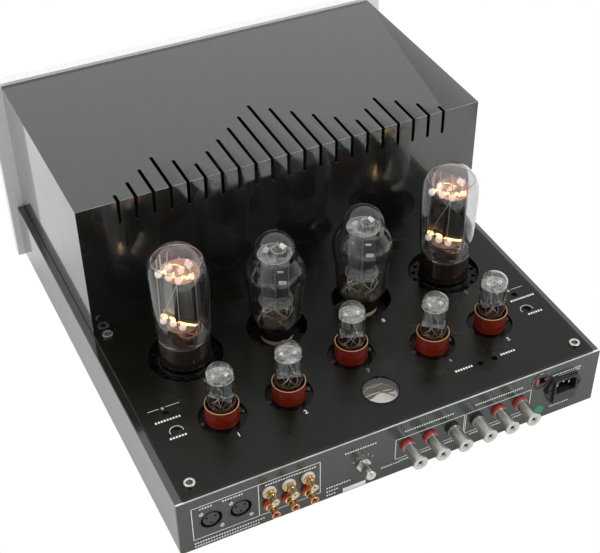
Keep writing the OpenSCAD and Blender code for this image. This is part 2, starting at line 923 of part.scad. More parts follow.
// One recessed push button of the deck
module deck_button(place) {
  foot = wall_height - switch_depth + button_travel + loose_gap;
  color([0.12, 0.12, 0.12])
    on_deck(place, foot) cylinder(r = deck_button_radius, h = deck_top - 0.4 - foot);
}

module deck_button_1() {
  deck_button(button_places[0]);
}

module deck_button_2() {
  deck_button(button_places[1]);
}

// The bush of a front control with its body behind the panel
module control_bush() {
  translate([0, 0, -panel_thickness]) cylinder(r = bush_radius, h = panel_thickness - 1);
}

// The bore that a knob shaft turns in
module shaft_bore() {
  translate([0, 0, -panel_thickness - shaft_depth])
    cylinder(r = adjuster_radius + run_gap, h = panel_thickness + shaft_depth);
}

module volume_pot() {
  color([0.6, 0.6, 0.58])
    on_front(-knob_offset, knob_height)
      difference() {
        union() {
          control_bush();
          translate([0, 0, -panel_thickness - 16]) cylinder(r = 14, h = 16 + cut / 50);
        }
        shaft_bore();
      }
}

module input_switch() {
  color([0.6, 0.6, 0.58])
    on_front(knob_offset, knob_height)
      difference() {
        union() {
          control_bush();
          translate([0, 0, -panel_thickness - 16]) block(32, 32, 16);
        }
        shaft_bore();
      }
}

module power_switch() {
  color([0.1, 0.1, 0.1])
    on_front(0, button_height, -panel_thickness)
      translate([0, 0, -22])
        difference() {
          block(20, 26, 22);
          translate([0, 0, 22 - stem_depth - stem_travel - loose_gap])
            cylinder(r = stem_radius + run_gap, h = 22);
        }
}

// A turned front knob on its shaft
module front_knob() {
  translate([0, 0, knob_gap]) {
    cylinder(d = knob_diameter, h = knob_length - 1.5);
    translate([0, 0, knob_length - 1.5])
      cylinder(d1 = knob_diameter, d2 = knob_diameter - 3, h = 1.5);
  }
  translate([0, 0, -panel_thickness - shaft_depth])
    cylinder(r = adjuster_radius, h = panel_thickness + shaft_depth + knob_gap);
}

module volume_knob() {
  color([0.75, 0.76, 0.77])
    on_front(-knob_offset, knob_height) front_knob();
}

module input_knob() {
  color([0.75, 0.76, 0.77])
    on_front(knob_offset, knob_height) front_knob();
}

module power_button() {
  color([0.75, 0.76, 0.77])
    on_front(0, button_height) {
      translate([0, 0, -8]) cylinder(d = button_diameter, h = 11);
      translate([0, 0, -panel_thickness - stem_depth])
        cylinder(r = stem_radius, h = panel_thickness + stem_depth);
    }
}

module bias_knob() {
  color([0.75, 0.74, 0.7])
    on_rear(bias_x, bias_height) {
      translate([0, 0, bias_knob_foot])
        rotate_extrude()
          polygon([
            [0, 0], [bias_knob_diameter / 2 - 0.7, 0], [bias_knob_diameter / 2 - 0.7, 2.6],
            [bias_knob_diameter / 2, 3.4], [bias_knob_diameter / 2, bias_knob_length - 1],
            [bias_knob_diameter / 2 - 1, bias_knob_length], [0, bias_knob_length]
          ]);
      translate([0, 0, -sheet - shaft_depth + 1])
        cylinder(r = adjuster_radius, h = sheet + shaft_depth - 1 + bias_knob_foot + cut);
    }
}

// The nut of a loudspeaker post: foot washer, barrel and end flange around the stud
module post_nut(k) {
  color([0.8, 0.8, 0.77])
    on_rear(post_places[k], post_height)
      difference() {
        union() {
          translate([0, 0, collar_length]) {
            cylinder(r = nut_washer[0], h = nut_washer[1]);
            cylinder(r = nut_radius, h = post_reach - collar_length - nut_flange + cut);
          }
          translate([0, 0, post_reach - nut_flange]) cylinder(d = post_flange, h = nut_flange);
        }
        translate([0, 0, collar_length - cut])
          cylinder(r = stud_radius + run_gap, h = post_reach);
        translate([0, 0, post_reach - nut_chamfer])
          cylinder(r1 = stud_radius, r2 = stud_radius + 2 * nut_chamfer, h = 2 * nut_chamfer);
      }
}

module post_nut_1() {
  post_nut(0);
}

module post_nut_2() {
  post_nut(1);
}

module post_nut_3() {
  post_nut(2);
}

module post_nut_4() {
  post_nut(3);
}

module post_nut_5() {
  post_nut(4);
}

module post_nut_6() {
  post_nut(5);
}

// Points of half an ellipse from its widest point up to its apex
function dome(radius, foot, apex, steps) =
  [for (k = [0 : steps]) [radius * cos(90 * k / steps), foot + (apex - foot) * sin(90 * k / steps)]];

// A glass bulb turned from its outline, open at its foot
module bulb(outline) {
  inner = [for (p = outline) [max(p[0] - glass_wall, 0), p[1]]];
  last = len(inner) - 1;
  rotate_extrude()
    polygon(concat(
      outline,
      [[0, inner[last][1] - glass_wall]],
      [for (k = [last - 1 : -1 : 0]) [inner[k][0], min(inner[k][1], inner[last][1] - glass_wall)]]
    ));
}

// A power tube at its place; heights are measured from the deck
module power_tube(side) {
  foot = power_base_height;
  seat = power_seat - deck_top;
  glass = power_glass / 2;
  neck = power_base / 2 - 0.7;
  stem = [9, 20];
  anode = [36, 20, 44];
  on_deck([side * power_place[0], power_place[1]], deck_top) {
    color([0.07, 0.06, 0.06])
      translate([0, 0, seat]) {
        cylinder(d = power_base, h = foot - seat);
        pins(power_pins);
      }
    color([0.8, 0.85, 0.85, 0.4])
      bulb(concat(
        [[neck, foot], [glass - 2.8, foot + 3], [glass - 2, foot + 8], [glass - 1.2, foot + 22],
          [glass - 0.6, foot + 38], [glass, foot + 62]],
        dome(glass, power_top - 29.5, power_top, 8)
      ));
    color([0.5, 0.5, 0.5])
      translate([0, 0, foot]) {
        cylinder(r = stem[0], h = stem[1]);
        translate([0, 0, stem[1] - 2]) block(anode[0], anode[1], anode[2]);
      }
  }
}

module power_tube_left() {
  power_tube(-1);
}

module power_tube_right() {
  power_tube(1);
}

// A driver tube with its waisted bulb; heights are measured from the deck
module driver_tube(side) {
  glass = driver_glass / 2;
  foot = driver_base_top;
  seat = driver_socket_top - deck_top;
  neck = driver_base / 2;
  stem = [8, 20];
  anode = [32, 18, 44];
  on_deck([side * driver_place[0], driver_place[1]], deck_top) {
    color([0.05, 0.05, 0.05])
      translate([0, 0, seat]) {
        cylinder(d = driver_base, h = foot - seat);
        pins(driver_pins);
      }
    color([0.8, 0.85, 0.85, 0.4])
      bulb(concat(
        [
          [neck - 0.4, foot], [neck + 3, foot + 1.2], [neck + 6, foot + 5],
          [neck + 8, foot + 12], [neck + 8.9, foot + 22], [neck + 9.8, foot + 40],
          [glass - 0.8, 60], [glass, 68], [glass - 0.6, 74], [glass - 2, 79],
          [glass - 5.2, 85.5], [glass - 8, 91]
        ],
        dome(driver_dome, driver_top - driver_dome, driver_top, 8)
      ));
    color([0.4, 0.38, 0.36])
      translate([0, 0, foot]) {
        cylinder(r = stem[0], h = stem[1]);
        translate([0, 0, stem[1] - 2]) block(anode[0], anode[1], anode[2]);
      }
  }
}

module driver_tube_left() {
  driver_tube(-1);
}

module driver_tube_right() {
  driver_tube(1);
}

// A small octal tube
module small_tube(place) {
  glass = small_glass / 2;
  foot = small_base_height - deck_thickness;
  on_deck(place, deck_top) {
    color([0.6, 0.12, 0.08])
      translate([0, 0, -deck_thickness]) {
        cylinder(d = small_base, h = small_base_height);
        pins(small_pins);
        translate([0, 0, -small_key[1]]) cylinder(r = small_key[0], h = small_key[1]);
      }
    color([0.85, 0.88, 0.88, 0.5])
      bulb(concat([[glass, foot]], dome(glass, small_top - 9, small_top, 8)));
    color([0.3, 0.3, 0.3])
      translate([0, 0, foot]) block(15, 10, small_top - 18 - foot);
  }
}

module small_tube_1() {
  small_tube(small_places[0]);
}

module small_tube_2() {
  small_tube(small_places[1]);
}

module small_tube_3() {
  small_tube(small_places[2]);
}

module small_tube_4() {
  small_tube(small_places[3]);
}

module small_tube_5() {
  small_tube(small_places[4]);
}

side_walls();
rear_panel();
bottom_plate();
deck_plate();
transformer_cover();
front_panel();
feet();
panel_screws();
power_transformer();
output_transformers();
power_tube_sockets();
driver_tube_sockets();
small_tube_sockets();
cage_sockets();
xlr_sockets();
rca_jacks();
rca_insulators();
binding_posts();
post_collars();
bias_switch();
mains_inlet();
inlet_pins();
voltage_selector();
meter_case();
meter_scale();
meter_lens();
supply_board();
supply_capacitors();
trim_pots();
deck_switches();
volume_pot();
input_switch();
power_switch();
power_tube_left();
power_tube_right();
driver_tube_left();
driver_tube_right();
small_tube_1();
small_tube_2();
small_tube_3();
small_tube_4();
small_tube_5();
volume_knob();
input_knob();
power_button();
bias_knob();
voltage_slider();
hum_adjuster_left();
hum_adjuster_right();
bias_adjuster_left();
bias_adjuster_right();
deck_button_1();
deck_button_2();
post_nut_1();
post_nut_2();
post_nut_3();
post_nut_4();
post_nut_5();
post_nut_6();
meter_needle();
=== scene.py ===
"""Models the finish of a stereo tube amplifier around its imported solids, and its studio."""

import json
import math

import bpy
from mathutils import Matrix, Vector

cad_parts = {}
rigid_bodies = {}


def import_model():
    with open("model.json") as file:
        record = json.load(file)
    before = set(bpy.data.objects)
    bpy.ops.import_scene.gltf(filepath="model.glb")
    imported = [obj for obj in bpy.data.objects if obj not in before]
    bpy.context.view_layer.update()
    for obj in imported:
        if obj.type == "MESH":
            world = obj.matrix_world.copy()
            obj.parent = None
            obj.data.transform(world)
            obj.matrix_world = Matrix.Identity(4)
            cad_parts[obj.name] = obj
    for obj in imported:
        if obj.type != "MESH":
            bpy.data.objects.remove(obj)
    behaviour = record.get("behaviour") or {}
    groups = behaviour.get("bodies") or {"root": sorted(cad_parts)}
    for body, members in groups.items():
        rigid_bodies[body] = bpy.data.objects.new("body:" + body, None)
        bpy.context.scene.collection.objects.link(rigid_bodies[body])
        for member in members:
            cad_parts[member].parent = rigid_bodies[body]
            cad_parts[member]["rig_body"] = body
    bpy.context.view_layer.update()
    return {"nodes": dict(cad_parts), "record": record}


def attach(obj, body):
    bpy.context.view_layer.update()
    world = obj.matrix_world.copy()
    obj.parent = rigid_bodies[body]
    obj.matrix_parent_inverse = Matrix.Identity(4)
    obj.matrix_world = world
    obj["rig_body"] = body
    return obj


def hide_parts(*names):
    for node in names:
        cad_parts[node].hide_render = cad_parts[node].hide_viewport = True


bl_info = {
    "name": "Stereo tube amplifier",
    "version": (1, 0, 0),
    "blender": (4, 5, 0),
    "location": "3D View > Sidebar > Amplifier",
    "description": "Builds the visible pieces, finishes and studio of a stereo tube amplifier",
    "category": "Object",
}

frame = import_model()

MM = 0.001
CASE = "case"
SLOTS = {part["node"]: part["material_slot"] for part in frame["record"]["subparts"]}
UP, REAR = Vector((0, 0, 1)), Vector((0, 1, 0))
# Distances in metres under which vertices merge, on wires and numbers, and on other pieces
WIRE_MERGE, MERGE = 1e-6, 2e-6
# The rear face and the underside of the chassis in the frame of the part, in millimetres
REAR_Y, FLOOR_Z = 248.25, 16.0
# Heights and distances below are millimetres from the rear face and the chassis bottom
DECK_TOP, WALL_TOP = 69.8, 66.8
# Half the thickness of the print, and the share of a row of marks that is ink
INK, INK_SHARE = 0.05, 0.62
# The thickness of a film in the glass, and how deep the grooves of a collar are
FILM, GROOVE = 0.05, 0.4
# The angle in degrees up to which two faces of a solid are one flat face
FLAT = 0.5


def at(x, y, z):
    """A point of the chassis, in millimetres, as a place in the part's frame in metres."""
    return Vector((x, y + REAR_Y, z + FLOOR_Z)) * MM


# Modelling helpers


def deselect():
    """Leaves edit mode and selects nothing."""
    active = bpy.context.view_layer.objects.active
    if active and active.mode != "OBJECT":
        bpy.ops.object.mode_set(mode="OBJECT")
    bpy.ops.object.select_all(action="DESELECT")


def only(obj):
    """Makes one object the only selected and the active one."""
    deselect()
    obj.select_set(True)
    bpy.context.view_layer.objects.active = obj
    return obj


def edit():
    """Opens the active object in edit mode with all of it selected."""
    bpy.ops.object.mode_set(mode="EDIT")
    bpy.ops.mesh.select_mode(type="VERT")
    bpy.ops.mesh.select_all(action="SELECT")


def edit_faces(obj, test):
    """Opens a piece in edit mode with only those faces selected that pass a test."""
    for face in obj.data.polygons:
        face.select = test(face)
    only(obj)
    bpy.ops.object.mode_set(mode="EDIT")
    bpy.ops.mesh.select_mode(type="FACE")


def leave():
    """Leaves edit mode."""
    bpy.ops.object.mode_set(mode="OBJECT")


def settle(obj):
    """Puts an object's origin at the part's origin with its place in its mesh."""
    only(obj)
    bpy.ops.object.transform_apply(location=True, rotation=True, scale=True)
    return obj


def named(name, obj=None):
    """Names a piece and its mesh; it is the active one if none is given."""
    obj = obj or bpy.context.view_layer.objects.active
    obj.name = name
    obj.data.name = name
    return obj


def tidy_mesh(obj, merge):
    """Merges doubles and turns every face outwards."""
    only(obj)
    edit()
    bpy.ops.mesh.remove_doubles(threshold=merge)
    bpy.ops.mesh.normals_make_consistent(inside=False)
    leave()
    return obj


def smooth(obj, degrees):
    """Shades a piece smooth up to an angle between its faces."""
    only(obj)
    bpy.ops.object.shade_smooth_by_angle(angle=math.radians(degrees))
    return obj


def modified(obj, kind, **values):
    """Applies a modifier of a kind with its values."""
    only(obj)
    change = obj.modifiers.new(kind.title(), kind)
    for key, value in values.items():
        setattr(change, key, value)
    bpy.ops.object.modifier_apply(modifier=change.name)
    return obj


def bevelled(obj, width, degrees=30):
    """Rounds the sharp edges of a piece; width is in millimetres."""
    limit = {"limit_method": "ANGLE", "angle_limit": math.radians(degrees)}
    return modified(obj, "BEVEL", width=width * MM, segments=2, harden_normals=True, **limit)


def skin(obj, kind):
    """Gives a turned film a thickness inwards and a finish."""
    return painted(modified(obj, "SOLIDIFY", thickness=FILM * MM, offset=-1), kind)


def painted(obj, kind):
    """Gives a piece one finish."""
    obj.data.materials.clear()
    obj.data.materials.append(look(kind))
    return obj


def tinted(obj, kind, test):
    """Gives a second finish to the faces whose middle, in chassis millimetres, passes a test."""
    obj.data.materials.append(look(kind))
    index = len(obj.data.materials) - 1
    shift = Vector((0, REAR_Y, FLOOR_Z))
    for face in obj.data.polygons:
        if test(face.center / MM - shift):
            face.material_index = index
    return obj


def fitted(obj, body, slot, *nodes):
    """Settles a finished piece, gives it its body and hides what it stands for; the slot is not
    used.
    """
    settle(obj)
    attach(obj, body)
    if nodes:
        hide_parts(*nodes)
    return obj


def joined(name, pieces, kind=None):
    """Joins several objects into one, with one finish if it is given."""
    deselect()
    for piece in pieces:
        piece.select_set(True)
    bpy.context.view_layer.objects.active = pieces[0]
    if len(pieces) > 1:
        bpy.ops.object.join()
    return painted(named(name), kind) if kind else named(name)


def copied(obj, name, start, end, turn=0.0):
    """A copy with its own mesh, carried from one place to another and turned in degrees."""
    only(obj)
    bpy.ops.object.duplicate(linked=False)
    copy = named(name)
    spin = Matrix.Rotation(math.radians(turn), 4, "Z")
    copy.matrix_world = Matrix.Translation(end) @ spin @ Matrix.Translation(-start)
    return settle(copy)


def around(piece, centre, count):
    """A piece and its copies, spread evenly around an upright axis."""
    turns = [360 * k / count for k in range(1, count)]
    return [piece] + [copied(piece, piece.name, centre, centre, turn) for turn in turns]


def repeated(piece, start, ends):
    """A piece and its copies at other places."""
    return [piece] + [copied(piece, piece.name, start, end) for end in ends]


def block(name, size, centre, rounding, turn=(0, 0, 0)):
    """A box of a size in millimetres around a centre, its edges rounded."""
    deselect()
    bpy.ops.mesh.primitive_cube_add(size=1, location=centre, rotation=turn)
    obj = named(name)
    obj.scale = Vector(size) * MM
    return bevelled(settle(obj), rounding)


def chain(name, spots):
    """A string of vertices through places, left open in edit mode."""
    deselect()
    bpy.ops.mesh.primitive_plane_add(size=MM, location=spots[0])
    obj = named(name)
    edit()
    bpy.ops.mesh.merge(type="CENTER")
    for before, after in zip(spots, spots[1:]):
        bpy.ops.mesh.extrude_vertices_move(TRANSFORM_OT_translate={"value": after - before})
    bpy.ops.mesh.select_all(action="SELECT")
    return obj


def turned(name, outline, place, along=UP, steps=48, degrees=35):
    """Spins an outline of (radius, height) points in millimetres around an axis at a place."""
    obj = chain(name, [place + (Vector((r, 0, 0)) + along * h) * MM for r, h in outline])
    bpy.ops.mesh.spin(steps=steps, angle=math.tau, center=place, axis=along)
    leave()
    return smooth(settle(tidy_mesh(obj, MERGE)), degrees)


def wire(name, spots, radius, sides=3):
    """A round wire of a radius in millimetres through places."""
    only(chain(name, spots))
    bpy.ops.object.convert(target="CURVE")
    curve = bpy.context.view_layer.objects.active.data
    curve.bevel_depth = radius * MM
    curve.bevel_resolution = sides
    curve.use_fill_caps = True
    bpy.ops.object.convert(target="MESH")
    return smooth(settle(tidy_mesh(named(name), WIRE_MERGE)), 50)


def eased(points, parts=4):
    """A smooth run of (radius, height) points through the given ones."""
    ends = [points[0], *points, points[-1]]
    run = []
    for before, start, end, after in zip(ends, ends[1:], ends[2:], ends[3:]):
        for k in range(parts):
            t = k / parts
            spot = []
            for a, b, c, d in zip(before, start, end, after):
                bend = (2 * a - 5 * b + 4 * c - d) * t * t + (3 * b - a - 3 * c + d) * t**3
                spot.append(0.5 * (2 * b + (c - a) * t + bend))
            run.append(tuple(spot))
    return run + [points[-1]]


def arch(radius, foot, apex, steps=12):
    """Points of a quarter ellipse from its widest point up to its apex."""
    turns = [math.pi / 2 * k / steps for k in range(steps + 1)]
    return [(radius * math.cos(t), foot + (apex - foot) * math.sin(t)) for t in turns]


def shell(outline, wall):
    """The closed outline of a thin wall from that of its outside, foot first, apex last."""
    inside = []
    for k, (radius, height) in enumerate(outline):
        before = outline[max(k - 1, 0)]
        after = outline[min(k + 1, len(outline) - 1)]
        run = Vector((after[0] - before[0], after[1] - before[1])).normalized()
        inside.append((max(radius - run.y * wall, 0.0), height + run.x * wall))
    inside[0] = (inside[0][0], outline[0][1])
    inside[-1] = (0.0, outline[-1][1] - wall)
    return outline + inside[::-1] + [outline[0]]


def band(inner, outer, low, high):
    """The closed outline of a plain ring."""
    return [(inner, low), (outer, low), (outer, high), (inner, high), (inner, low)]


def prism(name, outline, spot, low, high, hollow=0.0):
    """A prism of an outline of (x, y) points, its ends let in by twice a rim if one is given."""
    obj = chain(name, [spot(x, y, low) for x, y in outline])
    bpy.ops.mesh.edge_face_add()
    rise = spot(0, 0, high) - spot(0, 0, low)
    bpy.ops.mesh.extrude_region_move(TRANSFORM_OT_translate={"value": rise})
    bpy.ops.mesh.select_all(action="SELECT")
    bpy.ops.mesh.normals_make_consistent(inside=False)
    leave()
    if hollow:
        edit_faces(obj, lambda face: abs(face.normal.dot(rise.normalized())) > 0.9)
        bpy.ops.mesh.inset(thickness=hollow * MM, depth=-2 * hollow * MM, use_individual=True)
        leave()
    return smooth(settle(obj), 40)


def spot_of(place, turn=0.0):
    """A function for places in millimetres around an upright axis, turned by an angle."""
    spin = Matrix.Rotation(turn, 3, "Z")
    return lambda x, y, h: place + spin @ Vector((x, y, h)) * MM


def circle(radius, turn, x=0.0, y=0.0):
    """The point of a circle around a middle at an angle in radians."""
    return x + radius * math.cos(turn), y + radius * math.sin(turn)


def dressed(node, kind, width):
    """A copy of a CAD solid with merged faces and rounded edges, which stands for it."""
    only(frame["nodes"][node])
    bpy.ops.object.duplicate(linked=False)
    obj = named(node + "_finished")
    obj.parent = None
    obj.matrix_world = Matrix.Identity(4)
    for key in list(obj.keys()):
        del obj[key]
    edit()
    bpy.ops.mesh.remove_doubles(threshold=MERGE)
    bpy.ops.mesh.dissolve_limited(angle_limit=math.radians(FLAT))
    leave()
    painted(bevelled(smooth(obj, 30), width), kind)
    return fitted(obj, frame["nodes"][node]["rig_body"], SLOTS[node], node)


# Shader helpers

FLOAT, VECTOR = "NodeSocketFloat", "NodeSocketVector"
# The part of the grain's range that its tones span, and the colour of dust
GRAIN_SPAN = 0.35, 0.65
DUST = 0.5, 0.49, 0.47


def feed(socket, value):
    """Links a socket to another one, or gives it a value of its own."""
    if isinstance(value, bpy.types.NodeSocket):
        socket.id_data.links.new(value, socket)
    else:
        socket.default_value = value


def feed_all(item, **values):
    """Feeds a node's sockets, or else sets its settings, by their names."""
    for key, value in values.items():
        label = key.replace("_", " ")
        if label in item.inputs:
            feed(item.inputs[label], value)
        else:
            setattr(item, key, value)
    return item


def add_node(tree, kind, x, y, *first, **values):
    """A shader node of a kind at a place, its sockets fed by name and by their order."""
    item = feed_all(tree.nodes.new("ShaderNode" + kind), location=(x, y), **values)
    for socket, value in zip(item.inputs, first):
        feed(socket, value)
    return item


def ramp(tree, x, y, value, low, high, bottom=0.0, top=1.0):
    """A value whose run from low to high is stretched to that from bottom to top."""
    ends = {"From_Min": low, "From_Max": high, "To_Min": bottom, "To_Max": top}
    return add_node(tree, "MapRange", x, y, Value=value, **ends).outputs["Result"]


def maths(tree, x, y, operation, first, second):
    """Two values multiplied or added."""
    return add_node(tree, "Math", x, y, first, second, operation=operation).outputs["Value"]


def clouds(tree, x, y, spot, scale, detail, rough=0.5):
    """The value of a noise at a place."""
    values = {"Scale": scale, "Detail": detail, "Roughness": rough}
    return add_node(tree, "TexNoise", x, y, Vector=spot, **values).outputs["Fac"]


def new_group(name, output, **inputs):
    """An empty node group that reads a place and named values and puts out one value."""
    group = bpy.data.node_groups.new(name, "ShaderNodeTree")
    socket = group.interface.new_socket
    socket("Vector", in_out="INPUT", socket_type=VECTOR)
    for label, value in inputs.items():
        kind = VECTOR if isinstance(value, tuple) else FLOAT
        socket(label, in_out="INPUT", socket_type=kind).default_value = value
    socket(output, in_out="OUTPUT", socket_type=FLOAT)
    start = group.nodes.new("NodeGroupInput")
    start.location = (-900, 0)
    end = group.nodes.new("NodeGroupOutput")
    end.location = (600, 0)
    return group, start.outputs, end.inputs[output]


def wear_group(name):
    """Mask of the worn edges of a piece, broken up by noise."""
    group, given, mask = new_group(name, "Mask", Radius=0.0008, Amount=0.5)
    edge = add_node(group, "Bevel", -650, 100, samples=4, Radius=given["Radius"])
    face = add_node(group, "NewGeometry", -650, -100)
    normals = edge.outputs["Normal"], face.outputs["Normal"]
    dot = add_node(group, "VectorMath", -450, 0, *normals, operation="DOT_PRODUCT")
    away = ramp(group, -250, 100, dot.outputs["Value"], 0.995, 0.8)
    patch = ramp(group, -250, -250, clouds(group, -450, -250, given["Vector"], 260, 4), 0.42, 0.62)
    both = maths(group, 0, 0, "MULTIPLY", away, patch)
    feed(mask, maths(group, 200, 0, "MULTIPLY", both, given["Amount"]))
    return group


def grain_group(name):
    """Fine grain of a surface: a value around a half, stretched along an axis if wanted."""
    group, given, value = new_group(name, "Value", Scale=900.0, Stretch=(1, 1, 1))
    sides = given["Vector"], given["Stretch"]
    pull = add_node(group, "VectorMath", -650, 0, *sides, operation="MULTIPLY").outputs["Vector"]
    third = maths(group, -550, -250, "MULTIPLY", given["Scale"], 0.23)
    fine = clouds(group, -400, 100, pull, given["Scale"], 3, 0.6)
    mean = maths(group, -100, 0, "ADD", fine, clouds(group, -400, -150, pull, third, 2))
    feed(value, maths(group, 100, 0, "MULTIPLY", mean, 0.5))
    return group


def dust_group(name):
    """Mask of the thin dust that lies on faces that look up."""
    group, given, mask = new_group(name, "Mask", Amount=0.1)
    face = add_node(group, "NewGeometry", -650, 100)
    split = add_node(group, "SeparateXYZ", -450, 100, face.outputs["Normal"])
    up = ramp(group, -250, 100, split.outputs["Z"], 0.4, 1.0)
    specks = ramp(group, -250, -150, clouds(group, -450, -150, given["Vector"], 420, 6), 0.5, 0.75)
    both = maths(group, 0, 0, "MULTIPLY", up, specks)
    feed(mask, maths(group, 200, 0, "MULTIPLY", both, given["Amount"]))
    return group


GROUPS = {"Edge wear": wear_group, "Fine grain": grain_group, "Settled dust": dust_group}


def placed(tree, name, x, y, spot, **values):
    """The value of a shared node group, built at its first use, with a material's own values."""
    group = bpy.data.node_groups.get(name) or GROUPS[name](name)
    return add_node(tree, "Group", x, y, node_tree=group, Vector=spot, **values).outputs[0]


def mixed(tree, x, y, mask, first, second):
    """A colour mixed from two by a mask; each is a colour or a socket."""
    mix = add_node(tree, "Mix", x, y, data_type="RGBA", Factor=mask)
    for socket, value in ((mix.inputs[6], first), (mix.inputs[7], second)):
        feed(socket, value if isinstance(value, bpy.types.NodeSocket) else (*value[:3], 1.0))
    return mix.outputs[2]


def darker(colour, share):
    """A colour dimmed to a share of itself."""
    return tuple(value * share for value in colour)


def relief(tree, height, strength, distance):
    """The normal of a surface with a fine relief."""
    values = {"Height": height, "Strength": strength, "Distance": distance}
    return add_node(tree, "Bump", -300, -250, **values).outputs["Normal"]


def new_material(name):
    """A material, its node tree, its shader and the object's own coordinates."""
    material = bpy.data.materials.new(name)
    material.use_nodes = True
    tree = material.node_tree
    spot = add_node(tree, "TexCoord", -1300, 0).outputs["Object"]
    return material, tree, tree.nodes["Principled BSDF"], spot


def finish(name, colour, rough, spread=0.08, metallic=0.0, second=None, grain=900.0,
           stretch=(1, 1, 1), bump=0.1, depth=0.00002, wear=0.0, bare=(0.5, 0.5, 0.5),
           dust=0.0, coat=0.0, coat_rough=0.05, level=0.5):
    """An opaque surface: two tones under a grain, uneven gloss, bump, worn edges and dust."""
    material, tree, shader, spot = new_material(name)
    grit = placed(tree, "Fine grain", -1050, 200, spot, Scale=grain, Stretch=stretch)
    tone = ramp(tree, -800, 300, grit, *GRAIN_SPAN)
    base = mixed(tree, -550, 300, tone, second or darker(colour, 0.82), colour)
    if wear:
        worn = placed(tree, "Edge wear", -800, -200, spot, Amount=wear)
        base = mixed(tree, -350, 300, worn, base, bare)
    if dust:
        layer = placed(tree, "Settled dust", -800, -400, spot, Amount=dust)
        base = mixed(tree, -150, 300, layer, base, DUST)
    patches = clouds(tree, -1050, -50, spot, 22, 5)
    glosses = max(rough - spread, 0.0), rough + spread
    gloss = ramp(tree, -550, 0, patches, 0.3, 0.7, *glosses)
    feed_all(shader, Base_Color=base, Roughness=gloss, Normal=relief(tree, grit, bump, depth),
             Metallic=metallic, Coat_Weight=coat, Coat_Roughness=coat_rough,
             Specular_IOR_Level=level)
    return material


def clear_glass(name, colour, level=0.5):
    """Glass with faint waves."""
    material, tree, shader, spot = new_material(name)
    waves = placed(tree, "Fine grain", -800, 0, spot, Scale=45.0, Stretch=(1, 1, 0.4))
    tone = mixed(tree, -400, 200, waves, darker(colour, 0.97), colour)
    feed_all(shader, Base_Color=tone, Normal=relief(tree, waves, 0.05, 0.0002), Roughness=0.0,
             Transmission_Weight=1.0, Specular_IOR_Level=level, IOR=1.47)
    return material


def veil(name, colour, rough, cover, metallic=0.0, grain=260.0, lit=0.0, swing=0.2, shade=0.8):
    """A thin layer that hides only part of what lies behind it, in clouds; with lit it also glows,
    a painted glow.
    """
    material, tree, shader, spot = new_material(name)
    grit = placed(tree, "Fine grain", -800, 0, spot, Scale=grain)
    steep = ramp(tree, -600, 0, grit, *GRAIN_SPAN)
    tone = mixed(tree, -400, 200, steep, darker(colour, shade), colour)
    covers = max(cover - swing, 0.02), min(cover + swing, 1.0)
    feed_all(shader, Base_Color=tone, Alpha=ramp(tree, -400, -50, steep, 0.0, 1.0, *covers),
             Normal=relief(tree, grit, 0.1, 0.0001), Roughness=rough, Metallic=metallic)
    if lit:
        feed_all(shader, Emission_Color=tone, Emission_Strength=lit)
    return material


def glowing(name, colour, rim, strength, dim=0.7):
    """Shines unevenly, brightest in the middle: hot metal for the filaments, a painted glow for
    the beads.
    """
    material, tree, shader, spot = new_material(name)
    heat = placed(tree, "Fine grain", -800, 0, spot, Scale=320.0)
    edge = add_node(tree, "LayerWeight", -800, -300, Blend=0.35)
    hot = mixed(tree, -600, 0, heat, darker(colour, dim), colour)
    tone = mixed(tree, -400, 0, edge.outputs["Facing"], hot, rim)
    feed_all(shader, Base_Color=tone, Emission_Color=tone, Emission_Strength=strength)
    return material


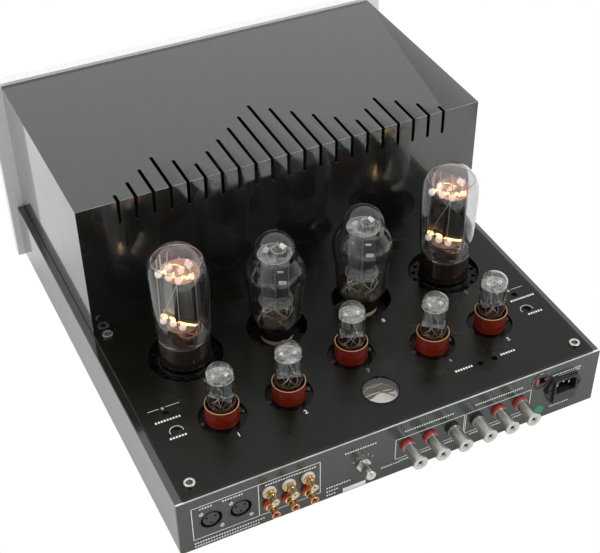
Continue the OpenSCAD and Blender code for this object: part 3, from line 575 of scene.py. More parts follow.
# Finishes of this object. A colour or strength in words is the property of that name.
SOLID_LOOKS = {
    "paint": dict(
        name="Anthracite lacquer", colour="paint", rough=0.16, spread=0.04, metallic=0.9,
        grain=700, bump=0.04, wear=0.25, bare=(0.42, 0.43, 0.43), coat=1, coat_rough=0.03),
    "deck_paint": dict(
        name="Black deck lacquer", colour="deck", rough=0.3, spread=0.05, grain=600, bump=0.03,
        wear=0.2, bare=(0.3, 0.3, 0.3), level=0.31),
    "panel_paint": dict(
        name="Grey panel lacquer", colour="rear", rough=0.22, spread=0.06, metallic=0.7,
        grain=1500, bump=0.06, wear=0.3, bare=(0.45, 0.46, 0.46)),
    "silver": dict(
        name="Blasted silver", colour="silver", rough=0.45, spread=0.05, metallic=0.15,
        grain=2600, bump=0.15, wear=0.2, bare=(0.9, 0.9, 0.9)),
    "nickel": dict(
        name="Satin nickel", colour=(0.74, 0.72, 0.69), rough=0.24, metallic=1, grain=1200,
        stretch=(1, 1, 6), bump=0.08),
    "post_nickel": dict(
        name="Dull nickel", colour=(0.68, 0.665, 0.63), rough=0.34, metallic=1,
        second=(0.58, 0.565, 0.53), grain=700, bump=0.03),
    "gold": dict(
        name="Gold plating", colour=(0.92, 0.71, 0.38), rough=0.2, spread=0.06, metallic=1,
        second=(0.74, 0.5, 0.22), bump=0.06),
    "plated": dict(
        name="Plated pressing", colour=(0.55, 0.54, 0.52), rough=0.28, spread=0.1, metallic=1,
        second=(0.42, 0.42, 0.41), grain=700),
    "blackened": dict(
        name="Blackened steel", colour=(0.05, 0.05, 0.05), rough=0.3, metallic=0.9,
        grain=1500, wear=0.5),
    "dark_steel": dict(
        name="Matt dark sheet", colour=(0.05, 0.052, 0.052), rough=0.5, spread=0.1,
        grain=1500, bump=0.15, wear=0.3, bare=(0.3, 0.3, 0.3)),
    # painted highlight: a bright grey laid on the rear panel's top ledge and on the cover's rear
    # fold
    "lifted_edge": dict(
        name="Rubbed edge", colour=(0.85, 0.88, 0.88), rough=0.3, spread=0.1,
        second=(0.5, 0.53, 0.53), grain=90, bump=0.05),
    # painted shade: black without any reflection for the deck buttons, their switches and the deck
    # round them
    "hollow_black": dict(
        name="Dull black", colour=(0.002, 0.002, 0.002), rough=0.9, spread=0.05, bump=0.05,
        level=0),
    "socket_black": dict(
        name="Gloss black pressing", colour=(0.003, 0.003, 0.003), rough=0.1, spread=0.06,
        grain=700, bump=0.05, wear=0.35, bare=(0.2, 0.2, 0.2), level=0.14),
    "black_plastic": dict(
        name="Black moulding", colour=(0.018, 0.018, 0.018), rough=0.38, grain=1800,
        bump=0.15, wear=0.2, bare=(0.08, 0.08, 0.08), dust=0.05),
    "red_plastic": dict(
        name="Red moulding", colour=(0.55, 0.03, 0.025), rough=0.28, spread=0.06, grain=1500,
        bump=0.08, coat=0.3),
    "white_plastic": dict(
        name="White moulding", colour=(0.82, 0.8, 0.76), rough=0.3, spread=0.06, grain=1500,
        bump=0.08, coat=0.3),
    "cream": dict(
        name="Cream ceramic", colour=(0.72, 0.62, 0.47), rough=0.25, spread=0.06,
        second=(0.62, 0.52, 0.38), grain=800, bump=0.08, coat=0.4, dust=0.08),
    "rubber": dict(
        name="Foot rubber", colour=(0.02, 0.02, 0.02), rough=0.7, grain=1300, bump=0.25),
    "iron": dict(
        name="Varnished core", colour=(0.06, 0.055, 0.05), rough=0.35, spread=0.1,
        second=(0.025, 0.022, 0.02), grain=500, stretch=(1, 8, 1), bump=0.3, depth=0.0001,
        dust=0.1),
    "tube_base": dict(
        name="Brown-black moulding", colour=(0.022, 0.014, 0.01), rough=0.2,
        second=(0.012, 0.008, 0.006), grain=500, bump=0.05, coat=0.9, coat_rough=0.06),
    "brick_red": dict(
        name="Brick-red moulding", colour="base", rough=0.26, second=(0.13, 0.009, 0.004),
        grain=420, stretch=(1, 1, 3), bump=0.12, coat=0.35),
    "rim_cream": dict(
        name="Cream rim", colour=(0.72, 0.5, 0.28), rough=0.35, spread=0.06,
        second=(0.6, 0.38, 0.2), bump=0.08),
    "graphite": dict(
        name="Grey anode", colour=(0.12, 0.125, 0.12), rough=0.3, spread=0.1, metallic=0.7,
        second=(0.07, 0.075, 0.07), grain=600, stretch=(1, 1, 0.15), bump=0.15),
    # painted sheen: a paler copy of the grey anode for one half of the right power tube's anode
    "pale_anode": dict(
        name="Pale anode", colour=(0.3, 0.32, 0.3), rough=0.3, spread=0.1, metallic=0.4,
        second=(0.2, 0.21, 0.2), grain=300, stretch=(1, 1, 0.3), bump=0.08),
    # The blue-grey plate and the shaded plate are lit and shaded copies of one plate finish:
    # painted light and painted shade
    "plate_steel": dict(
        name="Blue-grey plate", colour=(0.4, 0.43, 0.45), rough=0.36, metallic=0.7,
        second=(0.24, 0.26, 0.28), grain=500, stretch=(1, 1, 0.2)),
    "shaded_plate": dict(
        name="Shaded plate", colour=(0.16, 0.17, 0.18), rough=0.4, metallic=0.7,
        second=(0.11, 0.12, 0.13), stretch=(1, 1, 0.3)),
    "streaked_plate": dict(
        name="Streaked plate", colour=(0.7, 0.73, 0.74), rough=0.3, spread=0.12, metallic=0.5,
        second=(0.03, 0.035, 0.035), grain=520, stretch=(1, 1, 0.12), bump=0.25),
    # painted highlight: white blocks on the plates of the driver tubes
    "white_tab": dict(
        name="White tab", colour=(0.95, 0.96, 0.95), rough=0.3, spread=0.06, bump=0.05,
        coat=0.5),
    "rosy_wire": dict(
        name="Rosy wire", colour=(0.7, 0.58, 0.5), rough=0.35, spread=0.06, metallic=0.6,
        grain=1500, bump=0.05),
    "golden_wire": dict(
        name="Golden wire", colour=(0.97, 0.95, 0.88), rough=0.15, spread=0.06, metallic=0.6,
        second=(0.72, 0.62, 0.45), bump=0.05),
    "bright_wire": dict(
        name="Bright wire", colour=(0.75, 0.73, 0.7), rough=0.2, spread=0.06, metallic=1,
        grain=1500, bump=0.05),
    "copper": dict(
        name="Rosy copper", colour=(0.85, 0.5, 0.4), rough=0.25, metallic=1,
        second=(0.4, 0.18, 0.12), bump=0.08),
    "card_paper": dict(
        name="Printed card", colour=(0.95, 0.95, 0.92), rough=0.7, second=(0.8, 0.78, 0.72),
        grain=2200, bump=0.2),
    "dark_card": dict(
        name="Dark printed zone", colour=(0.06, 0.07, 0.08), rough=0.5,
        second=(0.03, 0.035, 0.045), grain=300),
    "white_ink": dict(
        name="White ink", colour=(0.95, 0.96, 0.96), rough=0.6, spread=0.1, grain=2500,
        bump=0.2),
    "red_ink": dict(
        name="Red ink", colour=(0.62, 0.05, 0.06), rough=0.6, spread=0.1, grain=2500,
        bump=0.2),
    "amber_ink": dict(
        name="Amber ink", colour=(1.0, 0.78, 0.14), rough=0.5, second=(0.95, 0.42, 0.06),
        grain=600),
    "green_paper": dict(
        name="Green sticker", colour=(0.02, 0.33, 0.13), rough=0.5, second=(0.015, 0.26, 0.1),
        bump=0.15),
    "label_paper": dict(name="Blank label", colour=(0.97, 0.97, 0.96), rough=0.55),
}
GLASS_LOOKS = {
    "blown_glass": dict(name="Blown glass", colour=(0.97, 0.98, 0.98)),
    "lens_glass": dict(name="Flat glass", colour=(1.0, 1.0, 1.0), level=0.06),
}
VEIL_LOOKS = {
    "mica": dict(
        name="Mica", colour=(0.9, 0.93, 0.91), rough=0.35, cover=0.55, grain=330, swing=0.4,
        shade=0.3),
    "clear_mica": dict(
        name="Clear mica", colour=(0.8, 0.81, 0.79), rough=0.2, cover=0.24, grain=300,
        swing=0.22, shade=0.3),
    # painted glow: the top insulator of the power tubes glows faintly
    "lit_mica": dict(
        name="Lit mica", colour=(0.75, 0.5, 0.44), rough=0.3, cover=0.08, grain=320, lit=0.12,
        swing=0.08),
    "low_mica": dict(
        name="Low mica", colour=(0.5, 0.4, 0.36), rough=0.3, cover=0.5, grain=500),
    "mirror_flash": dict(
        name="Silvery flash", colour=(0.6, 0.62, 0.6), rough=0.25, cover=0.1, metallic=0.3,
        grain=300, swing=0.1),
    "smoke_flash": dict(
        name="Brown flash", colour=(0.16, 0.11, 0.06), rough=0.06, cover=0.42, metallic=0.9,
        grain=90, swing=0.35),
    "amber_flash": dict(
        name="Amber flash", colour=(0.16, 0.11, 0.04), rough=0.2, cover=0.4, metallic=0.5,
        grain=120),
    "rosy_stem": dict(
        name="Rosy stem glass", colour=(0.3, 0.12, 0.09), rough=0.1, cover=0.14, swing=0.1),
    "amber_stem": dict(
        name="Amber stem glass", colour=(0.34, 0.27, 0.17), rough=0.1, cover=0.5, grain=500),
    "skirt_glass": dict(
        name="Skirt glass", colour=(0.62, 0.63, 0.6), rough=0.2, cover=0.16),
    # painted glow: a glowing veil round the tops of the filaments
    "haze": dict(
        name="Filament haze", colour=(1.0, 0.55, 0.4), rough=0.6, cover=0.2, lit=0.7,
        shade=0.5),
}
GLOW_LOOKS = {
    # painted glow: the beads glow though they are no lamp
    "white_bead": dict(
        name="White bead", colour=(1.0, 0.93, 0.86), rim=(0.8, 0.62, 0.52), strength=0.4,
        dim=0.85),
    "filament": dict(
        name="Glowing filament", colour=(1.0, 0.72, 0.3), rim=(1.0, 0.26, 0.04),
        strength="glow"),
}
LOOKS = (
    (finish, SOLID_LOOKS), (clear_glass, GLASS_LOOKS), (veil, VEIL_LOOKS), (glowing, GLOW_LOOKS),
)


def look(kind):
    """The material of a finish, built when it is first asked for."""
    build, values = next((build, kinds[kind]) for build, kinds in LOOKS if kind in kinds)
    values = dict(values)
    for key in ("colour", "strength"):
        if isinstance(values.get(key), str):
            values[key] = getattr(bpy.context.scene.amp_finish, values[key])
    return bpy.data.materials.get(values["name"]) or build(**values)


# The finish of each solid and the width of its rounded edges in millimetres
FINISHES = {
    "side_walls": ("paint", 1.0),
    "rear_panel": ("panel_paint", 0.35),
    "bottom_plate": ("dark_steel", 0.4),
    "deck_plate": ("deck_paint", 0.6),
    "transformer_cover": ("paint", 0.5),
    "front_panel": ("silver", 1.2),
    "feet": ("rubber", 0.8),
    "panel_screws": ("nickel", 0.3),
    **dict.fromkeys(("power_transformer", "output_transformers"), ("iron", 1.5)),
    "power_tube_sockets": ("socket_black", 0.3),
    "driver_tube_sockets": ("socket_black", 0.4),
    "small_tube_sockets": ("socket_black", 0.3),
    "cage_sockets": ("nickel", 0.4),
    "xlr_sockets": ("black_plastic", 0.3),
    "rca_insulators": ("white_plastic", 0.25),
    "binding_posts": ("post_nickel", 0.2),
    "bias_switch": ("nickel", 0.3),
    "mains_inlet": ("black_plastic", 0.5),
    "inlet_pins": ("nickel", 0.3),
    "voltage_selector": ("black_plastic", 0.2),
    "meter_case": ("socket_black", 0.4),
    "meter_scale": ("card_paper", 0.05),
    "meter_lens": ("lens_glass", 0.15),
    "supply_board": ("dark_steel", 0.2),
    "supply_capacitors": ("dark_steel", 1.0),
    "trim_pots": ("dark_steel", 0.5),
    # painted shade: the deck switches are pitch black
    "deck_switches": ("hollow_black", 0.4),
    **dict.fromkeys(("volume_pot", "input_switch"), ("plated", 0.4)),
    "power_switch": ("black_plastic", 0.4),
    **dict.fromkeys(("volume_knob", "input_knob"), ("silver", 0.6)),
    "power_button": ("silver", 0.5),
    "bias_knob": ("nickel", 0.5),
    "voltage_slider": ("red_plastic", 0.3),
    **dict.fromkeys(("hum_adjuster_left", "hum_adjuster_right"), ("blackened", 0.15)),
    **dict.fromkeys(("bias_adjuster_left", "bias_adjuster_right"), ("blackened", 0.15)),
    # painted shade: the deck buttons are pitch black
    **dict.fromkeys(("deck_button_1", "deck_button_2"), ("hollow_black", 0.3)),
    **{"post_nut_%d" % number: ("post_nickel", 0.3) for number in range(1, 7)},
    "meter_needle": ("black_plastic", 0.1),
}

# Places of the tubes, jacks, posts, line sockets and deck buttons, in chassis millimetres
POWER_X, POWER_Y = 146.5, -172.5
DRIVER_X, DRIVER_Y = 48.0, -172.6
SMALL_PLACES = ((146.2, -80.5), (78.4, -79.2), (0, -102.5), (-78.4, -79.2), (-146.2, -80.5))
BIG_PLACES = (
    (POWER_X, POWER_Y), (DRIVER_X, DRIVER_Y), (-DRIVER_X, DRIVER_Y), (-POWER_X, POWER_Y),
)
JACK_PLACES = (136.5, 117.0, 97.5)
JACK_ROWS = (41.5, 24.5)
POST_PLACES = (-7.6, -32.4, -57.2, -84.6, -109.4, -134.2)
POST_HEIGHT = 34
# The collars of the third and fourth post are black, between these two edges
BLACK_COLLARS = -98, -45
LINE_PLACES, LINE_HEIGHT = (193.2, 164.4), 33
BUTTON_PLACES, BUTTON_Y = (-107, -122.8), -34
VOLTAGE_X, VOLTAGE_Z = -156.7, 53.7
METER_X, METER_Y, METER_CARD = -2.0, -45.0, 60.8
# Rear face and top of the transformer cover
COVER_REAR, COVER_TOP = -240.4, 220.6
# How far the inside of each small tube is turned about its axis, in degrees
SMALL_TURNS = (-50.0, -16.5, -22.0, -38.0, -12.0)

# Faces of the solids that have a second finish
SECOND_FINISHES = (
    ("panel_screws", "blackened", lambda p: p.y < -12 or p.x < -150),
    ("panel_screws", "plated", lambda p: p.y > -12 and p.x > 150),
    # The rear panel's top ledge gets a painted highlight
    ("rear_panel", "lifted_edge", lambda p: p.z > WALL_TOP - 0.4),
    # The deck round each button is pitch black, painted shade
    ("deck_plate", "hollow_black", lambda p: any(
        math.hypot(p.x - x, p.y - BUTTON_Y) < 4.2 for x in BUTTON_PLACES)),
    # The rear top fold of the transformer cover gets a painted highlight
    ("transformer_cover", "lifted_edge",
        lambda p: p.y > COVER_REAR - 0.6 and p.z > COVER_TOP - 0.6),
    ("rca_insulators", "red_plastic", lambda p: p.z < sum(JACK_ROWS) / 2),
    ("driver_tube_sockets", "cream", lambda p: 57.5 < p.z < 63
        and math.hypot(abs(p.x) - DRIVER_X, p.y - DRIVER_Y) < 17),
    ("xlr_sockets", "dark_steel", lambda p: any(
        math.hypot(p.x - x, p.z - LINE_HEIGHT) < 8 for x in LINE_PLACES)),
    ("voltage_selector", "plated",
        lambda p: p.y > 0 and math.hypot(p.x - VOLTAGE_X, p.z - VOLTAGE_Z) > 10),
)

# Outlines as (radius, height) from the deck, or from the rear panel
POWER_BASE = [
    (0, -9.8), (24.2, -9.8), (25.2, -8.8), (25.2, 27.2), (24.9, 28.6), (24.2, 29.5),
    (23.4, 29.9), (0, 29.9),
]
POWER_GLASS = [(24.3, 30), (26.2, 32.6), (27.1, 38), (27.8, 52), (28.4, 68), (28.9, 90)]
POWER_STEM = [(0, 30), (14, 30), (12.5, 33), (9, 37), (7, 41), (3, 43.5), (0, 44)]
BEAD_OUTLINE = [
    (0, -4.2), (2.1, -3.8), (3.3, -2.2), (3.6, 0), (3.1, 2.1), (1.9, 3.4), (0, 3.8),
]
GLOW_VEIL_OUTLINE = [(0, 102), (13, 102.4), (17.5, 105), (16.5, 109), (10, 112.5), (0, 113.5)]
DRIVER_BASE = [
    (0, -7.8), (16.8, -7.8), (17.4, -7.2), (17.4, 3.6), (17.1, 4.5), (16.4, 4.9), (0, 4.9),
]
DRIVER_GLASS = [
    (17, 5), (20.4, 6.3), (23.4, 10), (25.3, 17), (26.3, 27), (27.2, 45), (29.5, 60),
    (30.2, 68), (29.7, 74), (28.2, 79.5), (25, 85.5), (22.2, 90),
]
DRIVER_STEM = [(0, 5), (12, 5), (11, 8), (7.5, 14), (6, 20), (3, 26), (0, 26.5)]
SKIRT_OUTLINE = [(13.0, 47), (13.6, 43), (15.2, 39), (16.9, 35.9)]
SMALL_BASE = [
    (0, -3), (15.4, -3), (16.3, -2.1), (16.3, 17.45), (16.2, 17.75), (15.7, 17.75),
    (15.55, 17.45), (15.4, 3), (0, 3),
]
SMALL_CAP = arch(13.45, 54.5, 63.9)
KEY_OUTLINE = [(0, -16), (3.2, -16), (4, -15.2), (4, -2.5), (0, -2.5)]
JACK_OUTLINE = [
    (0, 5), (3.4, 5), (3.4, 15.4), (3.6, 15.5), (4.0, 15.5), (4.15, 15.3), (4.15, 13.4),
    (3.85, 13.0), (3.85, 8.4), (4.15, 8.0), (4.15, 4.5), (4.9, 4.5), (5.3, 4.2), (5.3, 2.8),
    (5.0, 2.5), (3.0, 2.5), (3.0, -2), (6.2, -2), (6.2, -5), (3.0, -5), (3.0, -9), (0, -9),
]
COLLAR_OUTLINE = [
    (3.6, -1.9), (4.95, -1.9), (4.95, 0), (7.0, 0.02), (7.3, 0.3), (7.3, 2.7), (7.0, 2.98),
    (3.6, 2.98), (3.6, -1.9),
]
COLLAR_STEPS = 48
STICKER_OUTLINE = [(0, 0.12), (5.8, 0.12), (5.9, 0), (0, 0)]

# Plans and places inside the tubes, as (across, depth), from the axis of the tube
BEAD_PLACES = ((16.6, 7.3), (5.6, 7.0), (-5.0, 7.3), (13, -5.5), (0.5, -5.5), (-12.5, -4.5))
BEAD_HEIGHTS = (102.5, 45.5)
ANODE_PLAN = [
    (19.0, 0), (17.6, 5.2), (1.6, 7.6), (1.2, 9.6), (-1.2, 9.6), (-1.6, 7.6), (-17.6, 5.2),
    (-19.0, 0), (-17.6, -5.2), (17.6, -5.2),
]
DRIVER_PLAN = [(-6.2, -6), (6.2, -6), (6.8, 0), (6.2, 6), (-6.2, 6), (-6.8, 0)]
SMALL_PLAN = [
    (-4.6, -3.4), (4.6, -3.4), (5.0, 0), (4.6, 3.4), (1.2, 4.4), (-1.2, 4.4), (-4.6, 3.4),
    (-5.0, 0),
]
MICA_PLAN = [(-11.2, -6.4), (11.2, -6.4), (11.2, 6.4), (-11.2, 6.4)]
# Across, height, width and height of the white blocks on the plates of a driver tube, which are
# painted highlights
HIGHLIGHT_BLOCKS = ((-5.2, 74.5, 6, 2.4), (-7.2, 60.8, 7.6, 4.4), (0.2, 70.8, 1.3, 1.3), (0.2, 65.2, 1.3, 1.3))
DRIVER_RODS = ((-13, 0), (13, 0), (0, -9), (0, 9), (-7, 0), (7, 0))
SMALL_RODS = (-9, -5.2, -1.6, 1.6, 5.2, 9)
# Runs inside a power tube as (across, depth, height): glowing strands with radius, struts, hook
GLOW_RUNS = (
    ([(17.8, 6.4, 49.2), (16.6, 7.6, 52.2), (13.6, 7.4, 52), (12.8, 6.4, 49.4)], 1.5),
    ([(8.6, 6.6, 51), (4.8, 7.6, 51.8), (2, 7.6, 50.6)], 1.3),
    ([(2, 7.6, 50.4), (-4, 7.6, 50.2), (-10, 7.0, 50), (-18, 4.6, 50.4)], 1.2),
    ([(13.4, 6.6, 104), (10.2, 6.2, 108), (8.0, 6.6, 104)], 1.3),
    ([(1.6, 6.8, 104), (0.6, 6.2, 108.8), (-0.8, 6.6, 104.6)], 1.2),
    ([(-6, 4, 102), (-8, 3, 105.5), (-10.5, 0.5, 102), (-12.5, -1, 105), (-15, -2.5, 102.5)], 1.7),
    ([(12, -6, 106), (4, -6.6, 107.6), (-4, -6.4, 106.4)], 0.5),
)
STRUTS = (
    ((16.6, 10.2, 99.6), (17.6, 10.4, 49.6)),
    ((-5, 10.6, 99.4), (16.4, 10.6, 50)),
    ((-5, 10.6, 99.4), (-4.2, 10.8, 49)),
)
HOOK = [(0, 0, 105), (1.5, 1, 109), (-1, 2, 112), (0.6, 0.5, 116), (0, 0, 119.6)]

# Printed frames of the rear panel as left, right, low, high
REAR_FRAMES = ((211.5, 84.5, 12.8, 55.2), (5.0, -70.4, 19.4, 46.0), (-72.2, -146.6, 19.4, 46.0))
FRAME_DIVIDER = 146.7
# Rows of marks as left, right, height on the rear panel, and as left, right, y on the deck
REAR_ROWS = (
    (204, 190, 51.5), (182, 160, 51.5), (140, 88, 51.0), (59, 23, 53), (-4, -60, 53.6),
    (-82, -137, 53.8), (-171, -205, 54.5), (-178, -206, 51.5), (-172, -196, 11.2),
    (211, 139, 7.4), (211, 146, 3.2), (78, 50, 14.6), (78, 64, 9.6), (78, 66, 4.6),
    (20, -1, 14.3), (0, -66, 15.4), (-78, -142, 15.4),
)
DECK_ROWS = (
    (206.4, 177.5, -98.1), (201, 183, -74), (-183.4, -212.8, -98.6), (-188.8, -206.5, -74),
    (-78.7, -101.1, -34.6), (-130.8, -150.6, -35.4),
)
# The blank label, the green sticker, and the red marks over the voltage slider
LABEL_SIZE, LABEL_PLACE = (24.2, 2 * INK, 5.4), (48.5, 0, 3.6)
STICKER_PLACE = -159.7, 0, 11.8
RED_LEFT, RED_RIGHT, RED_LIFT = (-160.5, 54.4), (-167, 54.4), 0.25
# Middle and ends of the strokes around the bias selector, and the arcs by the bias adjusters
SELECTOR_PLACE, SELECTOR_RADII = (40, 31), (10.5, 12.5)
ARC_X, ARC_Y, ARC_RADIUS = 191.6, -81.3, 6.5
# The hum lines: ends, lengths of the left and the right one, and y; the 0 between them
HUM_OUTER, HUM_INNER, HUM_LEFT, HUM_RIGHT, HUM_Y = 207.5, 175.9, 11, 14, -114.8
ZERO_X, ZERO_Y, ZERO_HEIGHT = -14.3, -112.4, 5
# From the axis of a small and of a large tube to its number
NUMBER_X, SMALL_NUMBER_Y, BIG_NUMBER_Y = -4, 31, 43.5
# The dark zone of the meter: the radius and the angles of its rim, and its hilly side
ZONE_RADIUS, ZONE_START, ZONE_END = 16.6, 184, 352
METER_HILL = [
    (14.4, -46.6), (11, -46), (7.6, -45), (2.7, -47.1), (-1.2, -48.2), (-4.7, -48.6),
    (-8.1, -47), (-12.6, -45.4), (-16.9, -45.2),
]
METER_LINES = (
    ([(12.4, -49.6), (6, -50.2), (1.1, -50.1), (-6, -49.7), (-11.5, -49.1), (-15.6, -48)], 0.65),
    ([(10.4, -59.9), (2, -59.2), (-6, -59.0), (-13, -59.4)], 0.36),
)

# The camera: its angles, aim, distance, and focal length and shift in pixels of the picture
CAMERA_TURN, CAMERA_RISE, CAMERA_ROLL = -0.472502, 0.723308, 0.008807
CAMERA_AIM = (94.22, 37.66, 268.94)
CAMERA_DISTANCE = 0.98306
PICTURE_WIDTH, FOCAL, SHIFT_X, SHIFT_Y = 600, 1262.505, -30.884, 37.754
SENSOR_WIDTH = 36
# Name, place, size and power of each lamp, and the point that they light
LAMPS = (("key", (-0.9, 0.9, 1.5), 0.9, 14.0), ("fill", (1.3, 0.2, 1.1), 0.8, 6.0))
LAMP_AIM = Vector((0, 0.05, 0.1))


class AmpFinish(bpy.types.PropertyGroup):
    """Colours and sizes of the amplifier's finish"""

    paint: bpy.props.FloatVectorProperty(
        name="Case lacquer", description="Colour of the side walls and the cover",
        subtype="COLOR", size=3, min=0, max=1, default=(0.085, 0.093, 0.086))
    deck: bpy.props.FloatVectorProperty(
        name="Deck lacquer", description="Colour of the tube deck",
        subtype="COLOR", size=3, min=0, max=1, default=(0.0035, 0.0036, 0.0012))
    rear: bpy.props.FloatVectorProperty(
        name="Rear panel", description="Colour of the rear panel",
        subtype="COLOR", size=3, min=0, max=1, default=(0.1, 0.107, 0.101))
    silver: bpy.props.FloatVectorProperty(
        name="Front panel", description="Colour of the front panel, its knobs and its button",
        subtype="COLOR", size=3, min=0, max=1, default=(0.96, 0.97, 0.97))
    base: bpy.props.FloatVectorProperty(
        name="Small tube bases", description="Colour of the bases of the five small tubes",
        subtype="COLOR", size=3, min=0, max=1, default=(0.2, 0.017, 0.006))
    glow: bpy.props.FloatProperty(
        name="Filament glow", description="Strength of the light of the filaments",
        min=0, max=100, default=3.2)
    mark: bpy.props.FloatProperty(
        name="Knob mark", description="Length of the pointer lines on the front knobs",
        subtype="DISTANCE", unit="LENGTH", min=0.002, max=0.02, default=0.011)
    line: bpy.props.FloatProperty(
        name="Printed line", description="Width of the printed frames on the rear panel",
        subtype="DISTANCE", unit="LENGTH", min=0.0002, max=0.002, default=0.00075)
    number: bpy.props.FloatProperty(
        name="Tube numbers", description="Height of the plain numbers beside the tubes",
        subtype="DISTANCE", unit="LENGTH", min=0.003, max=0.01, default=0.007)
    power_turn: bpy.props.FloatProperty(
        name="Power tube turn", description="Turn of the inside of the power tubes",
        subtype="ANGLE", unit="ROTATION", default=math.radians(-52))
    driver_turn: bpy.props.FloatProperty(
        name="Driver tube turn", description="Turn of the inside of the driver tubes",
        subtype="ANGLE", unit="ROTATION", default=math.radians(-25.5))


class AMP_OT_solids(bpy.types.Operator):
    """Dresses the solids whose shape is kept"""

    bl_idname = "amp.solids"
    bl_label = "Dress the solids"

    def execute(self, context):
        pieces = {node: dressed(node, *values) for node, values in FINISHES.items()}
        for node, kind, test in SECOND_FINISHES:
            tinted(pieces[node], kind, test)
        return {"FINISHED"}


class AMP_OT_jacks(bpy.types.Operator):
    """Turns the six phono jacks and the ribbed collars of the six posts"""

    bl_idname = "amp.jacks"
    bl_label = "Build jacks and collars"

    def execute(self, context):
        places = [at(x, 0, z) for x in JACK_PLACES for z in JACK_ROWS]
        jack = turned("jack", JACK_OUTLINE, places[0], REAR, 36)
        jacks = joined("rca_jacks_finished", repeated(jack, places[0], places[1:]), "gold")
        fitted(jacks, CASE, "gold", "rca_jacks")
        places = [at(x, 0, POST_HEIGHT) for x in POST_PLACES]
        collar = turned("collar", COLLAR_OUTLINE, places[0], REAR, COLLAR_STEPS)

        def groove(face):
            """Every second face of the collar's rim."""
            spot = (face.center - places[0]) / MM
            step = math.floor(math.atan2(spot.z, spot.x) / math.tau * COLLAR_STEPS)
            return math.hypot(spot.x, spot.z) > 7.1 and 0.4 < spot.y < 2.8 and step % 2 == 0

        edit_faces(collar, groove)
        depth = {"value": -GROOVE * MM}
        bpy.ops.mesh.extrude_region_shrink_fatten(TRANSFORM_OT_shrink_fatten=depth)
        leave()
        collars = repeated(smooth(collar, 25), places[0], places[1:])
        collars = joined("post_collars_finished", collars, "red_plastic")
        left, right = BLACK_COLLARS
        tinted(collars, "black_plastic", lambda p: left < p.x < right)
        fitted(collars, CASE, "red_plastic", "post_collars")
        return {"FINISHED"}


def on_deck(x, y, h):
    """A place at a height over the deck."""
    return at(x, y, DECK_TOP + h)


def on_rear(x, z, h):
    """A place at a height over the rear panel."""
    return at(x, h, z)


def stroke(start, end, width, face):
    """A printed line between two points of the deck or of the rear panel."""
    start, end = Vector(start), Vector(end)
    side = (end - start).orthogonal().normalized() * width / 2
    corners = [start - side, end - side, end + side, start + side]
    return prism("stroke", corners, face, -INK, INK)


def dashes(start, end, face, pitch, tall=1.7):
    """A row of short plain marks where the real one has words."""
    run = Vector(end) - Vector(start)
    first = stroke(start, Vector(start) + run.normalized() * pitch * INK_SHARE, tall, face)
    step = run.normalized() * pitch * MM
    offset = (step.x, step.y, 0) if face is on_deck else (step.x, 0, step.y)
    return modified(first, "ARRAY", count=int(run.length / pitch), use_relative_offset=False,
                    use_constant_offset=True, constant_offset_displace=offset)


def boxed(left, right, low, high, width):
    """The four lines of a printed frame on the rear panel."""
    corners = [(left, low), (left, high), (right, high), (right, low), (left, low)]
    return [stroke(a, b, width, on_rear) for a, b in zip(corners, corners[1:])]


def numeral(text, x, y, height):
    """A plain number on the deck, to be read from the rear."""
    deselect()
    bpy.ops.object.text_add(location=on_deck(x, y, -INK), rotation=(0, 0, math.pi))
    obj = bpy.context.view_layer.objects.active
    obj.data.body = text
    obj.data.size = height
    obj.data.align_x = "CENTER"
    obj.data.extrude = INK * MM
    obj.data.offset = 0.16 * MM
    obj.data.resolution_u = 2
    bpy.ops.object.convert(target="MESH")
    return settle(tidy_mesh(named("numeral"), WIRE_MERGE))


class AMP_OT_marks(bpy.types.Operator):
    """Lays the pointer lines of the three knobs"""

    bl_idname = "amp.marks"
    bl_label = "Mark the knobs"

    def execute(self, context):
        length = context.scene.amp_finish.mark / MM
        # Knob, slot, half width, front or rear end, inner and outer end of the line
        for node, slot, width, rear, start, end in (
            ("volume_knob", "silver", 0.8, False, 20.5 - length, 20.5),
            ("input_knob", "silver", 0.8, False, 20.5 - length, 20.5),
            ("bias_knob", "nickel", 0.45, True, 0.7, 4.1),
        ):
            knob = frame["nodes"][node]
            corners = [Vector(corner) for corner in knob.bound_box]
            place = sum(corners, Vector()) / 8
            place.y = (max if rear else min)(corner.y for corner in corners)
            line = [(-width, start), (width, start), (width, end), (-width, end)]
            mark = prism(
                node + "_mark", line,
                lambda x, z, h, place=place: place + Vector((x, h, z)) * MM, -INK / 2, INK / 2)
            fitted(painted(mark, "dark_card"), knob["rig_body"], slot)
        return {"FINISHED"}


